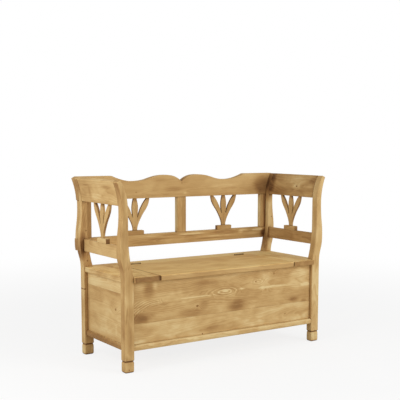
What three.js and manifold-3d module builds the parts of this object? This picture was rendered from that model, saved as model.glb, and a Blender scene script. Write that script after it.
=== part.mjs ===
// Settle bench in pine: four sawn S-curved posts, a lidded chest, a back frame and two arms with tulip splats.
// Millimetres. X runs along the bench, Y from the front to the back, Z up from the floor.
import * as THREE from "three";
import { mergeVertices } from "three/addons/utils/BufferGeometryUtils.js";
import Module from "manifold-3d";

const wasm = await Module();
wasm.setup();

// Overall
const benchHeight = 880;
const legSpan = 1156;
const legFrameDepth = 455;
const seatHeight = 440;
const seatFrontOverhang = 14;

// Posts: straight legs below the seat, sawn to an S-curve above it; the curve's heights are shares of the
// height from the seat to the top
const legWidth = 48;
const legDepth = 40;
const footRound = 7;
const footGrooveHeight = 54;
const footGrooveHalf = 4.5;
const footGrooveDepth = 3.5;
const swellStartDrop = 15;
const swellShare = 0.273;
const swell = 19.5;
const waistShare = 0.67;
const waist = 7.6;
const flareBendShare = 0.845;
const flare = 33;
const flareDrop = 9;
const innerBendShare = 0.136;
const innerBend = 19;
const neckStartShare = 0.364;
const neckInset = 22;
const neckEndShare = 0.682;
const innerFlareBendShare = 0.875;
const innerFlare = 16;

// Back frame: one plane behind the rear posts, let into a rebate
const backThickness = 34;
const backRebate = 12;
const stileThickness = 26;
const lowerRailGap = 78;
const lowerRailHeight = 59;
const topBoardHeight = 117;
const centreStileWidth = 54;
const endStileInset = 57;
const crestFlatFromCentre = 408;
const crestTroughFromCentre = 285;
const crestTroughDepth = 29;
const crestTroughBend = 55;
const crestHumpFromCentre = 94;
const crestCuspDepth = 35;
const crestCuspBend = 36;

// Arms
const armRailThickness = 20;
const armRailInset = 2;
const armBoardSetback = 0.6;

// Tulip splats and the blocks that they stand on
const splatThickness = 12;
const splatBlockLength = 94;
const splatBlockHeight = 23;
const splatBlockThickness = 20;
const splatBlockRound = 6;
const splatHalfWidth = 83;
const splatStemHalf = 11.5;
const splatSlotFoot = 1.6;
const armSplatInset = 4;

// Chest
const panelThickness = 20;
const panelRecess = 18;
const backPanelRecess = 10;
const panelTongue = 8;
const frontLowerBoardWidth = 96;
const sideUpperBoardWidth = 59;
const backLowerBoardWidth = 138;
const floorBottom = 97;
const floorThickness = 27;
const floorFrontRecess = 3;
const floorSideRecess = 7;
const floorRound = 9;

// Seat
const seatThickness = 24;
const seatEndOverhangRecess = 4;
const seatRearOverhang = 7;
const lidHalfLength = 400;
const lidGap = 1;
const rearStripDepth = 93.5;
const lidFrontRound = 7;
const lidCornerRound = 9;
const boardEdgeRound = 3;

// Bearers under the seat and battens under the lid
const crossRailWidth = 30;
const crossRailHeight = 40;
const bearerThickness = 22;
const bearerHeight = 30;
const battenWidth = 60;
const battenThickness = 20;
const battenFromLidEnd = 150;
const battenEndSpace = 30;

// Hidden joints
const tenonLength = 15;
const tenonThickness = 10;
const tenonShoulder = 9;
const boardTenonHeight = 30;

// Hinges
const hingeFromLidEnd = 80;
const hingeLength = 60;
const hingeLeafHeight = 20;
const hingeLeafThickness = 2;
const hingeLeafSpace = 0.3;
const knuckleRadius = 4;
const knuckleCount = 5;
const knuckleLift = 2;
const hingePinRadius = 1.5;
const hingePinOverrun = 0.6;
const hingeScrewFromCentre = 19;
const hingeScrewDrop = 13;
const hingeScrewLength = 16;
const hingeScrewHead = 3;
const hingeScrewShank = 1.4;
const hingeScrewHeadDepth = 1.6;

// Wood screws
const screwHead = 4;
const screwHeadDepth = 3;
const screwShank = 2;
const battenScrewLength = 32;
const battenScrewMargin = 50;

// Fits and mesh fineness
const clearance = 0.3;
const overrun = 5;
const curveSteps = 14;
const roundSteps = 4;
const knuckleSides = 20;
const screwSides = 10;

// Places worked out from the sizes above
const outer = legSpan / 2;
const backRearFromLegFront = legFrameDepth - backRebate + backThickness;
const legFront = seatFrontOverhang - (seatFrontOverhang + backRearFromLegFront) / 2;
const legRear = legFront + legFrameDepth;
const frontLegBack = legFront + legDepth;
const rearLegFront = legRear - legDepth;
const backFront = legRear - backRebate;
const backRear = backFront + backThickness;
const stileRear = backFront + stileThickness;
const lowerRailBottom = seatHeight + lowerRailGap;
const lowerRailTop = lowerRailBottom + lowerRailHeight;
const topBoardBottom = benchHeight - topBoardHeight;
const floorTop = floorBottom + floorThickness;
const seatBottom = seatHeight - seatThickness;
const panelTop = seatBottom - clearance;
const frontJointHeight = floorTop + frontLowerBoardWidth;
const sideJointHeight = seatBottom - sideUpperBoardWidth;
const backJointHeight = floorTop + backLowerBoardWidth;
const frontPanelFront = legFront + panelRecess;
const frontPanelBack = frontPanelFront + panelThickness;
const backPanelBack = legRear - backPanelRecess;
const backPanelFront = backPanelBack - panelThickness;
const sidePanelOuter = outer - panelRecess;
const sidePanelInner = sidePanelOuter - panelThickness;
const seatFront = legFront - seatFrontOverhang;
const seatRear = legRear + seatRearOverhang;
const hingeY = seatRear - rearStripDepth;
const hingeZ = seatHeight + knuckleLift;
const hingeFromCentre = lidHalfLength - hingeFromLidEnd;
const battenFromCentre = lidHalfLength - battenFromLidEnd;
const knuckleLength = hingeLength / knuckleCount;
const middle = (frontLegBack + rearLegFront) / 2;
const splatBottom = lowerRailTop + splatBlockHeight;

// Solids and meshes

function toSolid(geometry) {
  const bare = geometry.clone();
  bare.deleteAttribute("normal");
  bare.deleteAttribute("uv");
  const merged = mergeVertices(bare);
  return new wasm.Manifold(new wasm.Mesh({
    numProp: 3,
    vertProperties: new Float32Array(merged.attributes.position.array),
    triVerts: new Uint32Array(merged.index.array),
  }));
}

function toGeometry(solid) {
  const data = solid.getMesh();
  const geometry = new THREE.BufferGeometry();
  geometry.setAttribute("position", new THREE.BufferAttribute(new Float32Array(data.vertProperties), 3));
  geometry.setIndex(new THREE.BufferAttribute(new Uint32Array(data.triVerts), 1));
  geometry.computeVertexNormals();
  return geometry;
}

// The other hand of a piece: X is reversed, and so is the order of each triangle.
function otherHand(solid) {
  const geometry = toGeometry(solid).scale(-1, 1, 1);
  const index = geometry.index.array;
  for (let i = 0; i < index.length; i += 3) {
    const first = index[i];
    index[i] = index[i + 1];
    index[i + 1] = first;
  }
  return toSolid(geometry);
}

function slab([x0, x1], [y0, y1], [z0, z1]) {
  const box = new THREE.BoxGeometry(x1 - x0, y1 - y0, z1 - z0);
  return toSolid(box.translate((x0 + x1) / 2, (y0 + y1) / 2, (z0 + z1) / 2));
}

function extrude(shape, depth) {
  return new THREE.ExtrudeGeometry(shape, { depth, bevelEnabled: false, curveSegments: curveSteps });
}

// A shape drawn in X and Z, carried from front to back.
function alongY(shape, [y0, y1]) {
  return toSolid(extrude(shape, y1 - y0).rotateX(Math.PI / 2).translate(0, y1, 0));
}

// A shape drawn in Y and Z, carried along the bench.
function alongX(shape, [x0, x1]) {
  const turn = new THREE.Matrix4().makeBasis(
    new THREE.Vector3(0, 1, 0), new THREE.Vector3(0, 0, 1), new THREE.Vector3(1, 0, 0));
  return toSolid(extrude(shape, x1 - x0).applyMatrix4(turn).translate(x0, 0, 0));
}

// A shape drawn in X and Y, carried upwards.
function alongZ(shape, [z0, z1]) {
  return toSolid(extrude(shape, z1 - z0).translate(0, 0, z0));
}

function outline(points) {
  const shape = new THREE.Shape();
  points.forEach(([u, v], i) => (i ? shape.lineTo(u, v) : shape.moveTo(u, v)));
  return shape;
}

// A rectangle whose four corners are rounded by radii given from the low corner anticlockwise.
function roundedRectangle([u0, u1], [v0, v1], [lowLow, highLow, highHigh, lowHigh]) {
  const shape = new THREE.Shape();
  shape.moveTo(u0 + lowLow, v0);
  shape.lineTo(u1 - highLow, v0);
  roundCorner(shape, [u1 - highLow, v0 + highLow], highLow, -Math.PI / 2);
  shape.lineTo(u1, v1 - highHigh);
  roundCorner(shape, [u1 - highHigh, v1 - highHigh], highHigh, 0);
  shape.lineTo(u0 + lowHigh, v1);
  roundCorner(shape, [u0 + lowHigh, v1 - lowHigh], lowHigh, Math.PI / 2);
  shape.lineTo(u0, v0 + lowLow);
  roundCorner(shape, [u0 + lowLow, v0 + lowLow], lowLow, Math.PI);
  return shape;
}

// A quarter circle round a centre, drawn as a few short straight runs.
function roundCorner(shape, [u, v], radius, from) {
  if (radius === 0) {
    return;
  }
  for (let i = 1; i <= roundSteps; i += 1) {
    const angle = from + (Math.PI / 2) * (i / roundSteps);
    shape.lineTo(u + radius * Math.cos(angle), v + radius * Math.sin(angle));
  }
}

// The height of a point of the S-curve, from its share of the height above the seat.
function curveHeight(share) {
  return seatHeight + share * (benchHeight - seatHeight);
}

// The outer side of a right-hand post from the seat up: out to the swell, in to the waist and out to the flare.
function outerCurve(shape, out) {
  const start = seatHeight - swellStartDrop;
  const swellHeight = curveHeight(swellShare);
  const waistHeight = curveHeight(waistShare);
  const swellMiddle = (start + swellHeight) / 2;
  const waistMiddle = (swellHeight + waistHeight) / 2;
  shape.lineTo(out, start);
  shape.bezierCurveTo(out, swellMiddle, out + swell, swellMiddle, out + swell, swellHeight);
  shape.bezierCurveTo(out + swell, waistMiddle, out + waist, waistMiddle, out + waist, waistHeight);
  shape.quadraticCurveTo(out + waist, curveHeight(flareBendShare), out + flare, benchHeight - flareDrop);
}

// The inner side of a right-hand post from the top down to the seat.
function innerCurve(shape, inner, setback) {
  const neck = outer - neckInset + setback;
  shape.lineTo(outer + innerFlare + setback, benchHeight);
  shape.quadraticCurveTo(neck, curveHeight(innerFlareBendShare), neck, curveHeight(neckEndShare));
  shape.lineTo(neck, curveHeight(neckStartShare));
  shape.quadraticCurveTo(inner + innerBend, curveHeight(innerBendShare), inner, seatHeight);
}

// The closed line of a post seen from the front, right-hand post.
function postShape(setback) {
  const out = outer - setback;
  const inner = outer - legWidth + setback;
  const shape = new THREE.Shape();
  shape.moveTo(inner + footRound, 0);
  shape.lineTo(out - footRound, 0);
  roundCorner(shape, [out - footRound, footRound], footRound, -Math.PI / 2);
  shape.lineTo(out, footGrooveHeight - footGrooveHalf);
  shape.lineTo(out - footGrooveDepth, footGrooveHeight);
  shape.lineTo(out, footGrooveHeight + footGrooveHalf);
  outerCurve(shape, out);
  innerCurve(shape, inner, setback);
  shape.lineTo(inner, footGrooveHeight + footGrooveHalf);
  shape.lineTo(inner + footGrooveDepth, footGrooveHeight);
  shape.lineTo(inner, footGrooveHeight - footGrooveHalf);
  shape.lineTo(inner, footRound);
  roundCorner(shape, [inner + footRound, footRound], footRound, Math.PI);
  return shape;
}

// The closed line of a post seen from the side, with its foot and, on a rear post, the rebate for the back.
function postSideShape([front, back], upperBack) {
  const shape = new THREE.Shape();
  shape.moveTo(front + footRound, 0);
  shape.lineTo(back - footRound, 0);
  roundCorner(shape, [back - footRound, footRound], footRound, -Math.PI / 2);
  shape.lineTo(back, footGrooveHeight - footGrooveHalf);
  shape.lineTo(back - footGrooveDepth, footGrooveHeight);
  shape.lineTo(back, footGrooveHeight + footGrooveHalf);
  if (upperBack < back) {
    shape.lineTo(back, lowerRailBottom);
    shape.lineTo(upperBack, lowerRailBottom);
  }
  shape.lineTo(upperBack, benchHeight + overrun);
  shape.lineTo(front, benchHeight + overrun);
  shape.lineTo(front, footGrooveHeight + footGrooveHalf);
  shape.lineTo(front + footGrooveDepth, footGrooveHeight);
  shape.lineTo(front, footGrooveHeight - footGrooveHalf);
  shape.lineTo(front, footRound);
  roundCorner(shape, [front + footRound, footRound], footRound, Math.PI);
  return shape;
}

// A flat-topped wood screw on its axis from the origin down Y, and the hole that it turns into.
function screwGeometry([head, headDepth, shank], length, grow) {
  const top = grow > 0 ? overrun : 0;
  const profile = [
    new THREE.Vector2(0, top),
    new THREE.Vector2(head + grow, top),
    new THREE.Vector2(head + grow, 0),
    new THREE.Vector2(shank + grow, -headDepth),
    new THREE.Vector2(shank + grow, -length + shank),
    new THREE.Vector2(0, -length - grow),
  ];
  const points = top > 0 ? profile : profile.slice(0, 1).concat(profile.slice(2));
  return new THREE.LatheGeometry(points.reverse(), screwSides);
}

const woodScrew = [screwHead, screwHeadDepth, screwShank];
const hingeScrew = [hingeScrewHead, hingeScrewHeadDepth, hingeScrewShank];

// One screw with its head at a place, driven along a direction; a clearance makes it the hole instead.
function screw(kind, length, place, direction, grow) {
  const turn = new THREE.Quaternion().setFromUnitVectors(new THREE.Vector3(0, -1, 0), direction);
  return toSolid(screwGeometry(kind, length, grow).applyQuaternion(turn).translate(...place));
}

// The holes for screws at several places, as one cutter.
function screwHoles(kind, length, places, direction) {
  return places.map((place) => screw(kind, length, place, direction, clearance))
    .reduce((all, one) => all.add(one));
}

const toFront = new THREE.Vector3(0, -1, 0);
const toBack = new THREE.Vector3(0, 1, 0);
const upwards = new THREE.Vector3(0, 0, 1);

// A box grown by the clearance on every side, for the socket of a tenon or tongue.
function socket([x0, x1], [y0, y1], [z0, z1]) {
  return slab([x0 - clearance, x1 + clearance], [y0 - clearance, y1 + clearance],
    [z0 - clearance, z1 + clearance]);
}

// The tenons of an arm rail or arm board: one at each end, centred on the thickness and inside the height.
function armTenonX(from, to) {
  const centre = (from + to) / 2;
  return [centre - tenonThickness / 2, centre + tenonThickness / 2];
}

const armRailX = [outer - armRailInset - armRailThickness, outer - armRailInset];
const armRailTenonX = armTenonX(...armRailX);
const armRailTenonZ = [lowerRailBottom + tenonShoulder, lowerRailTop - tenonShoulder];
const armBoardTenonX = armTenonX(outer - neckInset, outer + waist);
const armBoardTenonZ = [topBoardBottom + tenonShoulder, topBoardBottom + tenonShoulder + boardTenonHeight];
const armTenonY = [frontLegBack - tenonLength, rearLegFront + tenonLength];

// The ends of the chest panels sit in grooves of the posts, right-hand post.
function panelGrooves(isRear) {
  const alongPanel = isRear ? [backPanelFront, backPanelBack] : [frontPanelFront, frontPanelBack];
  const longGroove = socket([outer - legWidth - overrun, outer - legWidth + panelTongue], alongPanel,
    [floorTop, panelTop]);
  const sideGrooveY = isRear ? [rearLegFront - overrun, rearLegFront + panelTongue]
    : [frontLegBack - panelTongue, frontLegBack + overrun];
  return longGroove.add(socket([sidePanelInner, sidePanelOuter], sideGrooveY, [floorTop, panelTop]));
}

function post(isRear) {
  const y = isRear ? [rearLegFront, legRear] : [legFront, frontLegBack];
  const upperBack = isRear ? backFront : frontLegBack;
  const x = [outer - legWidth - overrun, outer + flare + overrun];
  const blank = alongY(postShape(0), y).intersect(alongX(postSideShape(y, upperBack), x));
  const mortises = socket(armRailTenonX, armTenonY, armRailTenonZ)
    .add(socket(armBoardTenonX, armTenonY, armBoardTenonZ));
  return blank.subtract(mortises).subtract(panelGrooves(isRear));
}

// The outline of the whole bench seen from the front, from below the lower rail to the crest.
function backBlank() {
  const right = alongY(postShape(0), [backFront, backRear]);
  const core = slab([0, outer], [backFront, backRear], [0, benchHeight]);
  const half = right.add(core);
  return half.add(otherHand(half));
}

// The wavy top of the crest rail, from one flat end over two humps and the cusp to the other.
function crestShape() {
  const end = outer + flare;
  const low = benchHeight - crestTroughDepth;
  const humpRun = (crestTroughFromCentre - crestHumpFromCentre) / 2;
  const shape = new THREE.Shape();
  shape.moveTo(-end, topBoardBottom);
  shape.lineTo(end, topBoardBottom);
  shape.lineTo(end, benchHeight);
  shape.lineTo(crestFlatFromCentre, benchHeight);
  shape.quadraticCurveTo(crestTroughFromCentre + crestTroughBend, low, crestTroughFromCentre, low);
  shape.bezierCurveTo(crestTroughFromCentre - humpRun, low, crestHumpFromCentre + humpRun, benchHeight,
    crestHumpFromCentre, benchHeight);
  shape.quadraticCurveTo(crestCuspBend, benchHeight, 0, benchHeight - crestCuspDepth);
  shape.quadraticCurveTo(-crestCuspBend, benchHeight, -crestHumpFromCentre, benchHeight);
  shape.bezierCurveTo(-crestHumpFromCentre - humpRun, benchHeight, humpRun - crestTroughFromCentre, low,
    -crestTroughFromCentre, low);
  shape.quadraticCurveTo(-crestTroughFromCentre - crestTroughBend, low, -crestFlatFromCentre, benchHeight);
  shape.lineTo(-end, benchHeight);
  return shape;
}

// Stub tenons at both ends of a stile whose width runs from x0 to x1.
function stileTenons([x0, x1], grow) {
  const centre = (backFront + stileRear) / 2;
  const x = [x0 + tenonShoulder - grow, x1 - tenonShoulder + grow];
  const y = [centre - tenonThickness / 2 - grow, centre + tenonThickness / 2 + grow];
  return slab(x, y, [lowerRailTop - tenonLength - grow, lowerRailTop + overrun])
    .add(slab(x, y, [topBoardBottom - overrun, topBoardBottom + tenonLength + grow]));
}

const centreStileX = [-centreStileWidth / 2, centreStileWidth / 2];
const rightStileX = [outer - endStileInset, outer];
const leftStileX = [-outer, endStileInset - outer];

function stileSockets() {
  return stileTenons(centreStileX, clearance).add(stileTenons(rightStileX, clearance))
    .add(stileTenons(leftStileX, clearance));
}

function crestRail() {
  return backBlank().intersect(alongY(crestShape(), [backFront - overrun, backRear + overrun]))
    .subtract(stileSockets());
}

function backLowerRail() {
  const reach = outer + flare + overrun;
  const band = slab([-reach, reach], [backFront - overrun, backRear + overrun], [lowerRailBottom, lowerRailTop]);
  return backBlank().intersect(band).subtract(stileSockets());
}

// An end stile: its inner edge is straight, and its outer edge follows the post's curve.
function endStile() {
  const reach = outer + flare + overrun;
  const band = slab([rightStileX[0], reach], [backFront, stileRear], [lowerRailTop, topBoardBottom]);
  return backBlank().intersect(band).add(stileTenons(rightStileX, 0));
}

function centreStile() {
  return slab(centreStileX, [backFront, stileRear], [lowerRailTop, topBoardBottom])
    .add(stileTenons(centreStileX, 0));
}

// The tulip: shares of the splat's half width and of its height, up the outside of one outer petal.
const petalOuterShares = [
  [0.157, 0.1], [0.246, 0.23], [0.383, 0.37], [0.545, 0.51], [0.739, 0.645], [0.896, 0.78], [0.975, 0.91], [1, 1],
];
const petalInnerShares = [[0.81, 1], [0.668, 0.915], [0.535, 0.82], [0.416, 0.713], [0.345, 0.644], [0.27, 0.545]];
const petalMiddleShares = [[0.178, 0.525], [0.2, 0.644], [0.2, 0.75], [0.181, 0.82], [0.145, 0.915], [0.104, 1]];
const slotFootShares = [0.148, 0.406];

// The closed line of a tulip splat about its own centre line, standing on zero: a pointed slot parts the
// middle petal from each outer one.
function splatShape(height) {
  const place = ([u, v]) => [u * splatHalfWidth, v * height];
  const foot = place(slotFootShares);
  const right = [
    [splatStemHalf, 0],
    ...petalOuterShares.map(place),
    ...petalInnerShares.map(place),
    [foot[0] + splatSlotFoot, foot[1]],
    foot,
    ...petalMiddleShares.map(place),
  ];
  const left = right.map(([u, v]) => [-u, v]).reverse();
  return outline([...right, ...left]);
}

// A splat about its centre, its faces square to Y.
function splat() {
  return toGeometry(alongY(splatShape(topBoardBottom - splatBottom), [-splatThickness / 2, splatThickness / 2]));
}

// A block about its centre with its two upper corners rounded, its faces square to Y.
function splatBlock() {
  const shape = roundedRectangle([-splatBlockLength / 2, splatBlockLength / 2], [0, splatBlockHeight],
    [0, 0, splatBlockRound, splatBlockRound]);
  return toGeometry(alongY(shape, [-splatBlockThickness / 2, splatBlockThickness / 2]));
}

// Arm pieces, right-hand side

function armTopBoard() {
  const board = alongY(postShape(armBoardSetback), [frontLegBack, rearLegFront])
    .intersect(slab([outer - legWidth, outer + flare], [frontLegBack, rearLegFront],
      [topBoardBottom, benchHeight]));
  return board.add(slab(armBoardTenonX, armTenonY, armBoardTenonZ));
}

function armLowerRail() {
  return slab(armRailX, [frontLegBack, rearLegFront], [lowerRailBottom, lowerRailTop])
    .add(slab(armRailTenonX, armTenonY, armRailTenonZ));
}

// Chest panels, each of two boards glued edge to edge

const longPanelX = [-outer + legWidth - panelTongue, outer - legWidth + panelTongue];
const sidePanelY = [frontLegBack - panelTongue, rearLegFront + panelTongue];

function floorSlab() {
  const x = [-outer + floorSideRecess, outer - floorSideRecess];
  const y = [legFront + floorFrontRecess, legRear - floorFrontRecess];
  const z = [floorBottom, floorTop];
  const rounds = [floorRound, floorRound, floorRound, floorRound];
  const nosed = alongX(roundedRectangle(y, z, rounds), x).intersect(alongY(roundedRectangle(x, z, rounds), y));
  const notchX = [outer - legWidth - clearance, outer + overrun];
  const notchZ = [floorBottom - overrun, floorTop + overrun];
  const notches = slab(notchX, [legFront - overrun, frontLegBack + clearance], notchZ)
    .add(slab(notchX, [rearLegFront - clearance, legRear + overrun], notchZ));
  return nosed.subtract(notches).subtract(otherHand(notches));
}

function floorBoard([y0, y1]) {
  return floorSlab().intersect(slab([-outer, outer], [y0, y1], [floorBottom, floorTop]));
}

// Seat: two end boards notched round the posts, a strip behind the lid and the lid

function endBoard() {
  const x = [lidHalfLength, outer - seatEndOverhangRecess];
  const y = [seatFront, seatRear];
  const z = [seatBottom, seatHeight];
  const front = [boardEdgeRound, 0, 0, boardEdgeRound];
  const side = [0, boardEdgeRound, boardEdgeRound, 0];
  const board = alongX(roundedRectangle(y, z, front), x).intersect(alongY(roundedRectangle(x, z, side), y));
  const notchX = [outer - legWidth - clearance, outer + overrun];
  const notchZ = [seatBottom - overrun, seatHeight + overrun];
  return board.subtract(slab(notchX, [seatFront - overrun, frontLegBack + clearance], notchZ))
    .subtract(slab(notchX, [rearLegFront - clearance, seatRear + overrun], notchZ));
}

// The slots that the hinge knuckles lie in, and the seats of one leaf, on one side of the hinge line.
function hingePocket(side) {
  const leafSpace = [hingeLeafSpace, hingeLeafSpace + hingeLeafThickness].map((offset) => hingeY + side * offset);
  const leafY = [Math.min(...leafSpace, hingeY), Math.max(...leafSpace, hingeY)];
  const slotY = [hingeY - knuckleRadius, hingeY + knuckleRadius];
  const pockets = [-hingeFromCentre, hingeFromCentre].map((centre) => {
    const x = [centre - hingeLength / 2, centre + hingeLength / 2];
    return socket(x, leafY, [seatHeight - hingeLeafHeight, seatHeight + overrun])
      .add(socket(x, slotY, [hingeZ - knuckleRadius, seatHeight + overrun]));
  });
  return pockets[0].add(pockets[1]);
}

function rearStrip() {
  return slab([-lidHalfLength, lidHalfLength], [hingeY + lidGap / 2, seatRear], [seatBottom, seatHeight])
    .subtract(hingePocket(1)).subtract(hingeScrewHoles(1));
}

function seatLid() {
  const x = [-lidHalfLength + lidGap, lidHalfLength - lidGap];
  const y = [seatFront, hingeY - lidGap / 2];
  const z = [seatBottom, seatHeight];
  const plan = roundedRectangle(x, y, [lidCornerRound, lidCornerRound, 0, 0]);
  const section = roundedRectangle(y, z, [boardEdgeRound, 0, 0, lidFrontRound]);
  return alongX(section, x).intersect(alongZ(plan, z)).subtract(hingePocket(-1))
    .subtract(hingeScrewHoles(-1)).subtract(battenScrewHoles());
}

// Bearers and battens

const crossRailX = [lidHalfLength - crossRailWidth / 2, lidHalfLength + crossRailWidth / 2];
const bearerZ = [panelTop - bearerHeight, panelTop];
const endBearerX = [sidePanelInner - bearerThickness, sidePanelInner];
const insideY = [frontPanelBack, backPanelFront];
const endBearerY = [frontLegBack, rearLegFront];
const rearBearerX = [crossRailX[0] * -1, crossRailX[0]];
const rearBearerY = [backPanelFront - bearerThickness, backPanelFront];

const battenZ = [seatBottom - battenThickness, seatBottom];
const battenY = [frontPanelBack + battenEndSpace, hingeY - battenEndSpace];

function lidBatten(centre) {
  const x = [centre - battenWidth / 2, centre + battenWidth / 2];
  return slab(x, battenY, battenZ).subtract(battenScrewHoles());
}

// Two screws hold one batten to the lid: front and rear.
function battenScrewPlaces(centre) {
  return [battenY[0] + battenScrewMargin, battenY[1] - battenScrewMargin].map((y) => [centre, y, battenZ[0]]);
}

function battenScrewHoles() {
  const places = [-battenFromCentre, battenFromCentre].flatMap(battenScrewPlaces);
  return screwHoles(woodScrew, battenScrewLength, places, upwards);
}

// Hinges: interleaved knuckles on a pin, and a leaf let into each edge

function barrel(radius, [x0, x1], centre) {
  const rod = new THREE.CylinderGeometry(radius, radius, x1 - x0, knuckleSides).rotateZ(Math.PI / 2);
  return toSolid(rod.translate(centre + (x0 + x1) / 2, hingeY, hingeZ));
}

function hingeLeaf(centre, side) {
  const leafSpace = [hingeLeafSpace, hingeLeafSpace + hingeLeafThickness].map((offset) => hingeY + side * offset);
  const y = [Math.min(...leafSpace), Math.max(...leafSpace)];
  const x = [centre - hingeLength / 2, centre + hingeLength / 2];
  const first = side > 0 ? 0 : 1;
  let leaf = slab(x, y, [seatHeight - hingeLeafHeight, hingeZ]);
  for (let i = 0; i < knuckleCount; i += 1) {
    const run = [i * knuckleLength - hingeLength / 2, (i + 1) * knuckleLength - hingeLength / 2];
    if (i % 2 === first) {
      leaf = leaf.add(barrel(knuckleRadius, [run[0] + clearance / 2, run[1] - clearance / 2], centre));
    } else {
      leaf = leaf.subtract(barrel(knuckleRadius + clearance, [run[0] - clearance / 2, run[1] + clearance / 2],
        centre));
    }
  }
  const bore = barrel(hingePinRadius + clearance, [-hingeLength, hingeLength], centre);
  return leaf.subtract(bore).subtract(hingeScrewHoles(side));
}

function hingePin(centre) {
  const half = hingeLength / 2 + hingePinOverrun;
  return barrel(hingePinRadius, [-half, half], centre);
}

// The two screws of one leaf: +1 behind the hinge line, -1 on the lid.
function hingeScrewPlaces(centre, side) {
  return [-hingeScrewFromCentre, hingeScrewFromCentre]
    .map((offset) => [centre + offset, hingeY + side * hingeLeafSpace, seatHeight - hingeScrewDrop]);
}

function hingeScrewHoles(side) {
  const places = [-hingeFromCentre, hingeFromCentre].flatMap((centre) => hingeScrewPlaces(centre, side));
  return screwHoles(hingeScrew, hingeScrewLength, places, side > 0 ? toBack : toFront);
}

// The finished object

const postPine = { color: 0xb98f5a, roughness: 0.55, metalness: 0 };
const boardPine = { color: 0xc7a267, roughness: 0.55, metalness: 0 };
const panelPine = { color: 0xc9a76b, roughness: 0.55, metalness: 0 };
const innerPine = { color: 0xd0b27c, roughness: 0.7, metalness: 0 };
const agedBrass = { color: 0x6b5432, roughness: 0.45, metalness: 0.9 };
const zincSteel = { color: 0x8d8a84, roughness: 0.4, metalness: 0.95 };

const bench = new THREE.Group();

function add(parent, name, geometry, finish) {
  const mesh = new THREE.Mesh(geometry, new THREE.MeshStandardMaterial(finish));
  mesh.name = name;
  parent.add(mesh);
  return mesh;
}

function addSolid(parent, name, solid, finish) {
  return add(parent, name, toGeometry(solid), finish);
}

function addPair(parent, name, rightSolid, finish) {
  addSolid(parent, `${name}_right`, rightSolid, finish);
  addSolid(parent, `${name}_left`, otherHand(rightSolid), finish);
}

// Each screw is a piece of its own, numbered along its row.
function addScrews(parent, name, kind, length, places, direction, finish) {
  places.forEach((place, i) => addSolid(parent, `${name}_${i + 1}`, screw(kind, length, place, direction, 0),
    finish));
}

function addPosts() {
  const posts = new THREE.Group();
  addPair(posts, "post_front", post(false), postPine);
  addPair(posts, "post_rear", post(true), postPine);
  bench.add(posts);
}

function addBackFrame() {
  const back = new THREE.Group();
  addSolid(back, "crest_rail", crestRail(), boardPine);
  addSolid(back, "back_lower_rail", backLowerRail(), boardPine);
  addSolid(back, "back_stile_centre", centreStile(), boardPine);
  addPair(back, "back_stile", endStile(), boardPine);
  const bay = (centreStileWidth / 2 + outer - endStileInset) / 2;
  for (const [side, x] of [["left", -bay], ["right", bay]]) {
    const tulip = add(back, `back_splat_${side}`, splat(), boardPine);
    tulip.position.set(x, (backFront + stileRear) / 2, splatBottom);
    const block = add(back, `back_splat_block_${side}`, splatBlock(), boardPine);
    block.position.set(x, backFront + splatBlockThickness / 2, lowerRailTop);
  }
  bench.add(back);
}

function addArms() {
  const arms = new THREE.Group();
  addPair(arms, "arm_top_board", armTopBoard(), boardPine);
  addPair(arms, "arm_lower_rail", armLowerRail(), boardPine);
  for (const [side, sign] of [["left", -1], ["right", 1]]) {
    const tulip = add(arms, `arm_splat_${side}`, splat(), boardPine);
    tulip.rotation.z = Math.PI / 2;
    tulip.position.set(sign * (outer - armSplatInset - splatThickness / 2), middle, splatBottom);
    const block = add(arms, `arm_splat_block_${side}`, splatBlock(), boardPine);
    block.rotation.z = Math.PI / 2;
    block.position.set(sign * (outer - armRailInset - splatBlockThickness / 2), middle, lowerRailTop);
  }
  bench.add(arms);
}

function addChest() {
  const chest = new THREE.Group();
  const frontY = [frontPanelFront, frontPanelBack];
  const backY = [backPanelFront, backPanelBack];
  const sideX = [sidePanelInner, sidePanelOuter];
  addSolid(chest, "front_panel_lower", slab(longPanelX, frontY, [floorTop, frontJointHeight]), panelPine);
  addSolid(chest, "front_panel_upper", slab(longPanelX, frontY, [frontJointHeight, panelTop]), panelPine);
  addSolid(chest, "back_panel_lower", slab(longPanelX, backY, [floorTop, backJointHeight]), innerPine);
  addSolid(chest, "back_panel_upper", slab(longPanelX, backY, [backJointHeight, panelTop]), innerPine);
  addPair(chest, "side_panel_lower", slab(sideX, sidePanelY, [floorTop, sideJointHeight]), panelPine);
  addPair(chest, "side_panel_upper", slab(sideX, sidePanelY, [sideJointHeight, panelTop]), panelPine);
  addSolid(chest, "floor_board_front", floorBoard([legFront, middle]), panelPine);
  addSolid(chest, "floor_board_rear", floorBoard([middle, legRear]), panelPine);
  addPair(chest, "seat_cross_rail", slab(crossRailX, insideY, [panelTop - crossRailHeight, panelTop]), innerPine);
  addPair(chest, "seat_end_bearer", slab(endBearerX, endBearerY, bearerZ), innerPine);
  addSolid(chest, "seat_rear_bearer", slab(rearBearerX, rearBearerY, bearerZ), innerPine);
  bench.add(chest);
}

function addSeat() {
  const seat = new THREE.Group();
  addPair(seat, "seat_end_board", endBoard(), boardPine);
  addSolid(seat, "seat_rear_strip", rearStrip(), boardPine);
  addSolid(seat, "seat_lid", seatLid(), boardPine);
  for (const [side, centre] of [["left", -battenFromCentre], ["right", battenFromCentre]]) {
    addSolid(seat, `lid_batten_${side}`, lidBatten(centre), innerPine);
    addScrews(seat, `lid_batten_screw_${side}`, woodScrew, battenScrewLength, battenScrewPlaces(centre),
      upwards, zincSteel);
  }
  bench.add(seat);
}

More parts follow.
